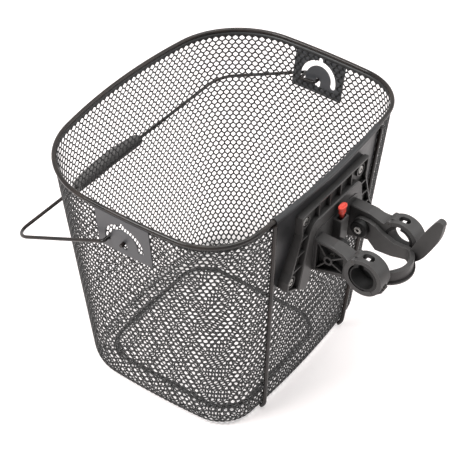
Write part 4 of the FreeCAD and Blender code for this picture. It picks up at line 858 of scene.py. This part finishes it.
class BASKET_OT_plates(bpy.types.Operator):
    """Backing plate and ears: satin paint on sheet steel, with a darker copy on the backing
    plate as painted shade.
    """

    bl_idname = "basket.plates"
    bl_label = "Sheet steel"

    def execute(self, context):
        colour = tuple(paint_settings().plate)
        paint = powder_paint("plate_paint", colour, shade(colour, EAR_PATCH), smoothest=0.34,
                             roughest=0.46, orange_peel=0.20, specular=0.45)
        paint_nodes(paint, both_sides("ear_plate"))
        # Painted shade: the backing plate takes a darker copy of the plates' paint.
        darker = powder_paint("backing_paint_shaded", shade(colour, BACK_PAINTED_SHADE),
                              shade(colour, BACK_SHADED_PATCH), smoothest=0.28, roughest=0.42,
                              orange_peel=0.20, specular=0.40)
        paint_nodes(darker, ("backing_plate",))
        return {"FINISHED"}


class BASKET_OT_plastics(bpy.types.Operator):
    """Adapter, bracket, clamps, bow, spacers and grip: moulded plastic."""

    bl_idname = "basket.plastics"
    bl_label = "Plastics"

    def execute(self, context):
        colour = tuple(paint_settings().plastic)
        for name, share, smoothest, roughest, grain_scale, grain_strength, nodes in PLASTICS:
            # Every moulded plastic gets a painted highlight on its edges and painted shade in
            # its recesses.
            plastic = moulded_plastic(name, shade(colour, share), smoothest, roughest,
                                      grain_scale, grain_strength)
            paint_nodes(plastic, nodes)
        return {"FINISHED"}


class BASKET_OT_button(bpy.types.Operator):
    """Release button: red moulded plastic, wide and dished on top, narrow at its stem."""

    bl_idname = "basket.button"
    bl_label = "Button"

    def execute(self, context):
        colour = tuple(paint_settings().button)
        # Red plastic with a painted highlight on its edges and painted shade in its recesses.
        red = moulded_plastic("button_red", colour, smoothest=0.28, roughest=0.42,
                              grain_scale=1000.0, grain_strength=0.08, edge_highlight=1.4)
        low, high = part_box("release_button")
        middle, half = (low + high) / 2, (high - low) / 2
        angles = math.tau * np.arange(BUTTON_SIDES) / BUTTON_SIDES
        across = np.sign(np.cos(angles)) * np.abs(np.cos(angles)) ** BUTTON_SQUARENESS
        along = np.sign(np.sin(angles)) * np.abs(np.sin(angles)) ** BUTTON_SQUARENESS
        bottom = (high.z - low.z, *BUTTON_SECTIONS[-1][1:])
        rings = [np.stack([middle.x + half.x * wide * across, middle.y + half.y * deep * along,
                           np.full(BUTTON_SIDES, high.z - drop)], axis=1)
                 for drop, wide, deep in BUTTON_SECTIONS + (bottom,)]
        faces = [tuple(quad) for quad in strip_faces(len(rings), BUTTON_SIDES)]
        first_of_last = (len(rings) - 1) * BUTTON_SIDES
        faces.append(tuple(range(BUTTON_SIDES)))
        faces.append(tuple(first_of_last + k for k in range(BUTTON_SIDES))[::-1])
        obj = mesh_object("red_button", np.concatenate(rings), faces, red)
        dress(obj, "release_button", "button")
        return {"FINISHED"}


class BASKET_OT_fasteners(bpy.types.Operator):
    """Screws, nuts, washers, pins and the spring."""

    bl_idname = "basket.fasteners"
    bl_label = "Fasteners"

    def execute(self, context):
        colour = tuple(paint_settings().screw)
        bright = plated_metal("bright_screw", colour, shade(colour, BRIGHT_STAIN),
                              smoothest=0.22, roughest=0.50)
        dark = powder_paint("dark_screw", BLACK_SCREW, BLACK_SCREW_PATCH, smoothest=0.25,
                            roughest=0.50, orange_peel=0.20, specular=0.40)
        dull = plated_metal("dull_screw", shade(colour, DULL_SHADE),
                            shade(colour, DULL_STAIN), smoothest=0.25, roughest=0.50)
        paint_nodes(bright, ("button_spring",) + both_sides("pivot_screw"))
        # Painted shade: the faces inside each pivot screw's socket take the dark screw paint.
        for name in both_sides("pivot_screw"):
            self.paint_socket_shade(NODES[name], dark)
        paint_nodes(dull, ("adapter_screws", "adapter_nuts"))
        paint_nodes(dark, ("adapter_washers", "arm_screws")
                    + both_sides("hinge_pin", "clamp_bolt", "clamp_nut"))
        return {"FINISHED"}

    def paint_socket_shade(self, screw, material):
        """Gives the faces inside a screw's socket the dark screw paint, as painted shade."""
        mesh = screw.data
        mesh.materials.append(material)
        places = np.array([p.center for p in mesh.polygons])
        low, high = places.min(axis=0), places.max(axis=0)
        middle = (low + high) / 2
        off_axis = np.hypot(places[:, 1] - middle[1], places[:, 2] - middle[2])
        for polygon, away in zip(mesh.polygons, off_axis):
            if away < SOCKET_R:
                polygon.material_index = 1


# ---------------------------------------------------------------------- stage

FLOOR_HALF_SIZE = 6.0
FLOOR_GAP = 0.0002            # under the basket
FLOOR_COLOUR = (0.91, 0.85, 0.84)
FLOOR_ROUGHNESS = 0.9
FLOOR_GLOW = 0.32             # only for the view, mirrors and glass
WORLD_FILL = 0.30             # light of the world on the basket, where 1 is white
# Name, place, size and power.
LAMPS = (("key_lamp", (-1.2, 0.6, 1.6), 0.8, 30.0),
         ("top_lamp", (0.3, -0.2, 2.2), 1.8, 36.0),
         ("side_lamp", (1.4, -1.3, 1.0), 1.0, 7.0))
LAMP_AIM = (0.0, -0.03, 0.14)

CAMERA_PLACE = (-0.9358, -0.6406, 1.1179)
CAMERA_TURN = -56.15          # degrees round the basket
CAMERA_RISE = 40.79
CAMERA_ROLL = 2.18
CAMERA_LENS = 108.82
CAMERA_SENSOR = 36.0
CAMERA_REACH = 50.0


def camera_axes():
    """Directions of the camera's right, top and back."""
    turn, rise, roll = (math.radians(v) for v in (CAMERA_TURN, CAMERA_RISE, CAMERA_ROLL))
    back = Vector((math.sin(turn) * math.cos(rise), -math.cos(turn) * math.cos(rise),
                   math.sin(rise)))
    right = Vector((math.cos(turn), math.sin(turn), 0.0))
    up = back.cross(right)
    level = right * math.cos(roll) + up * math.sin(roll)
    upright = up * math.cos(roll) - right * math.sin(roll)
    return level, upright, back


def seen_directly(tree):
    """Grey value that is 1 for the view, mirrors and glass, and 0 for lighting."""
    rays = tree.nodes.new("ShaderNodeLightPath")
    value = rays.outputs["Is Camera Ray"]
    for kind in ("Is Glossy Ray", "Is Transmission Ray"):
        either = tree.nodes.new("ShaderNodeMath")
        either.operation = "MAXIMUM"
        tree.links.new(value, either.inputs[0])
        tree.links.new(rays.outputs[kind], either.inputs[1])
        value = either.outputs[0]
    return value


class BASKET_OT_stage(bpy.types.Operator):
    """Floor, lamps, world and camera."""

    bl_idname = "basket.stage"
    bl_label = "Studio"

    def execute(self, context):
        scene = context.scene
        scene.view_settings.view_transform = "Standard"
        self.floor()
        self.world(scene)
        self.lamps(scene)
        self.camera(scene)
        return {"FINISHED"}

    def floor(self):
        """Pale floor that keeps the shadow."""
        size = FLOOR_HALF_SIZE
        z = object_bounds()[0][2] - FLOOR_GAP
        corners = [(-size, -size, z), (size, -size, z), (size, size, z), (-size, size, z)]
        material = bpy.data.materials.new("floor_white")
        material.use_nodes = True
        tree = material.node_tree
        shader = tree.nodes["Principled BSDF"]
        shader.inputs["Base Color"].default_value = (*FLOOR_COLOUR, 1.0)
        shader.inputs["Roughness"].default_value = FLOOR_ROUGHNESS
        shader.inputs["Emission Color"].default_value = (1.0, 1.0, 1.0, 1.0)
        scale = tree.nodes.new("ShaderNodeMath")
        scale.operation = "MULTIPLY"
        scale.inputs[1].default_value = FLOOR_GLOW
        tree.links.new(seen_directly(tree), scale.inputs[0])
        tree.links.new(scale.outputs[0], shader.inputs["Emission Strength"])
        obj = mesh_object("studio_floor", corners, [(0, 1, 2, 3)], material, smooth=False)
        obj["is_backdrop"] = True

    def world(self, scene):
        """White to look at, and a soft fill light."""
        world = bpy.data.worlds.new("studio")
        scene.world = world
        world.use_nodes = True
        tree = world.node_tree
        background = tree.nodes["Background"]
        background.inputs["Color"].default_value = (1.0, 1.0, 1.0, 1.0)
        scale = tree.nodes.new("ShaderNodeMapRange")
        scale.inputs["To Min"].default_value = WORLD_FILL
        scale.inputs["To Max"].default_value = 1.0
        tree.links.new(seen_directly(tree), scale.inputs["Value"])
        tree.links.new(scale.outputs[0], background.inputs["Strength"])

    def lamps(self, scene):
        """Soft square lamps, all aimed at the basket."""
        for name, place, size, power in LAMPS:
            data = bpy.data.lights.new(name, "AREA")
            data.size = size
            data.energy = power
            lamp = bpy.data.objects.new(name, data)
            lamp.location = place
            aim = Vector(LAMP_AIM) - Vector(place)
            lamp.rotation_euler = aim.to_track_quat("-Z", "Y").to_euler()
            scene.collection.objects.link(lamp)

    def camera(self, scene):
        """Long lens, from above and behind the bracket."""
        data = bpy.data.cameras.new("camera")
        data.sensor_width = CAMERA_SENSOR
        data.lens = CAMERA_LENS
        data.clip_end = CAMERA_REACH
        camera = bpy.data.objects.new("camera", data)
        level, upright, back = camera_axes()
        turned = Matrix((level, upright, back)).transposed().to_4x4()
        camera.matrix_world = Matrix.Translation(CAMERA_PLACE) @ turned
        scene.collection.objects.link(camera)
        scene.camera = camera


# ---------------------------------------------------------------------- panel

STEPS = ("walls", "floor", "seam", "wirework", "plates", "plastics", "button",
         "fasteners", "stage")


class BASKET_PT_panel(bpy.types.Panel):
    """Lists the pieces and their settings."""

    bl_label = "Handlebar basket"
    bl_idname = "BASKET_PT_panel"
    bl_space_type = "VIEW_3D"
    bl_region_type = "UI"
    bl_category = "Basket"

    def draw(self, context):
        layout = self.layout
        for group in (mesh_settings(), paint_settings()):
            box = layout.box()
            for name in group.__annotations__:
                box.prop(group, name)
        for step in STEPS:
            layout.operator("basket." + step)


CLASSES = (MeshSettings, PaintSettings, BASKET_OT_walls, BASKET_OT_floor, BASKET_OT_seam,
           BASKET_OT_wirework, BASKET_OT_plates, BASKET_OT_plastics, BASKET_OT_button,
           BASKET_OT_fasteners, BASKET_OT_stage, BASKET_PT_panel)


def register():
    for cls in CLASSES:
        bpy.utils.register_class(cls)
    bpy.types.Scene.basket_mesh = PointerProperty(type=MeshSettings)
    bpy.types.Scene.basket_paint = PointerProperty(type=PaintSettings)


def unregister():
    del bpy.types.Scene.basket_paint
    del bpy.types.Scene.basket_mesh
    for cls in reversed(CLASSES):
        bpy.utils.unregister_class(cls)


def main():
    """Runs every step."""
    register()
    for step in STEPS:
        getattr(bpy.ops.basket, step)()


if __name__ == "__main__":
    main()
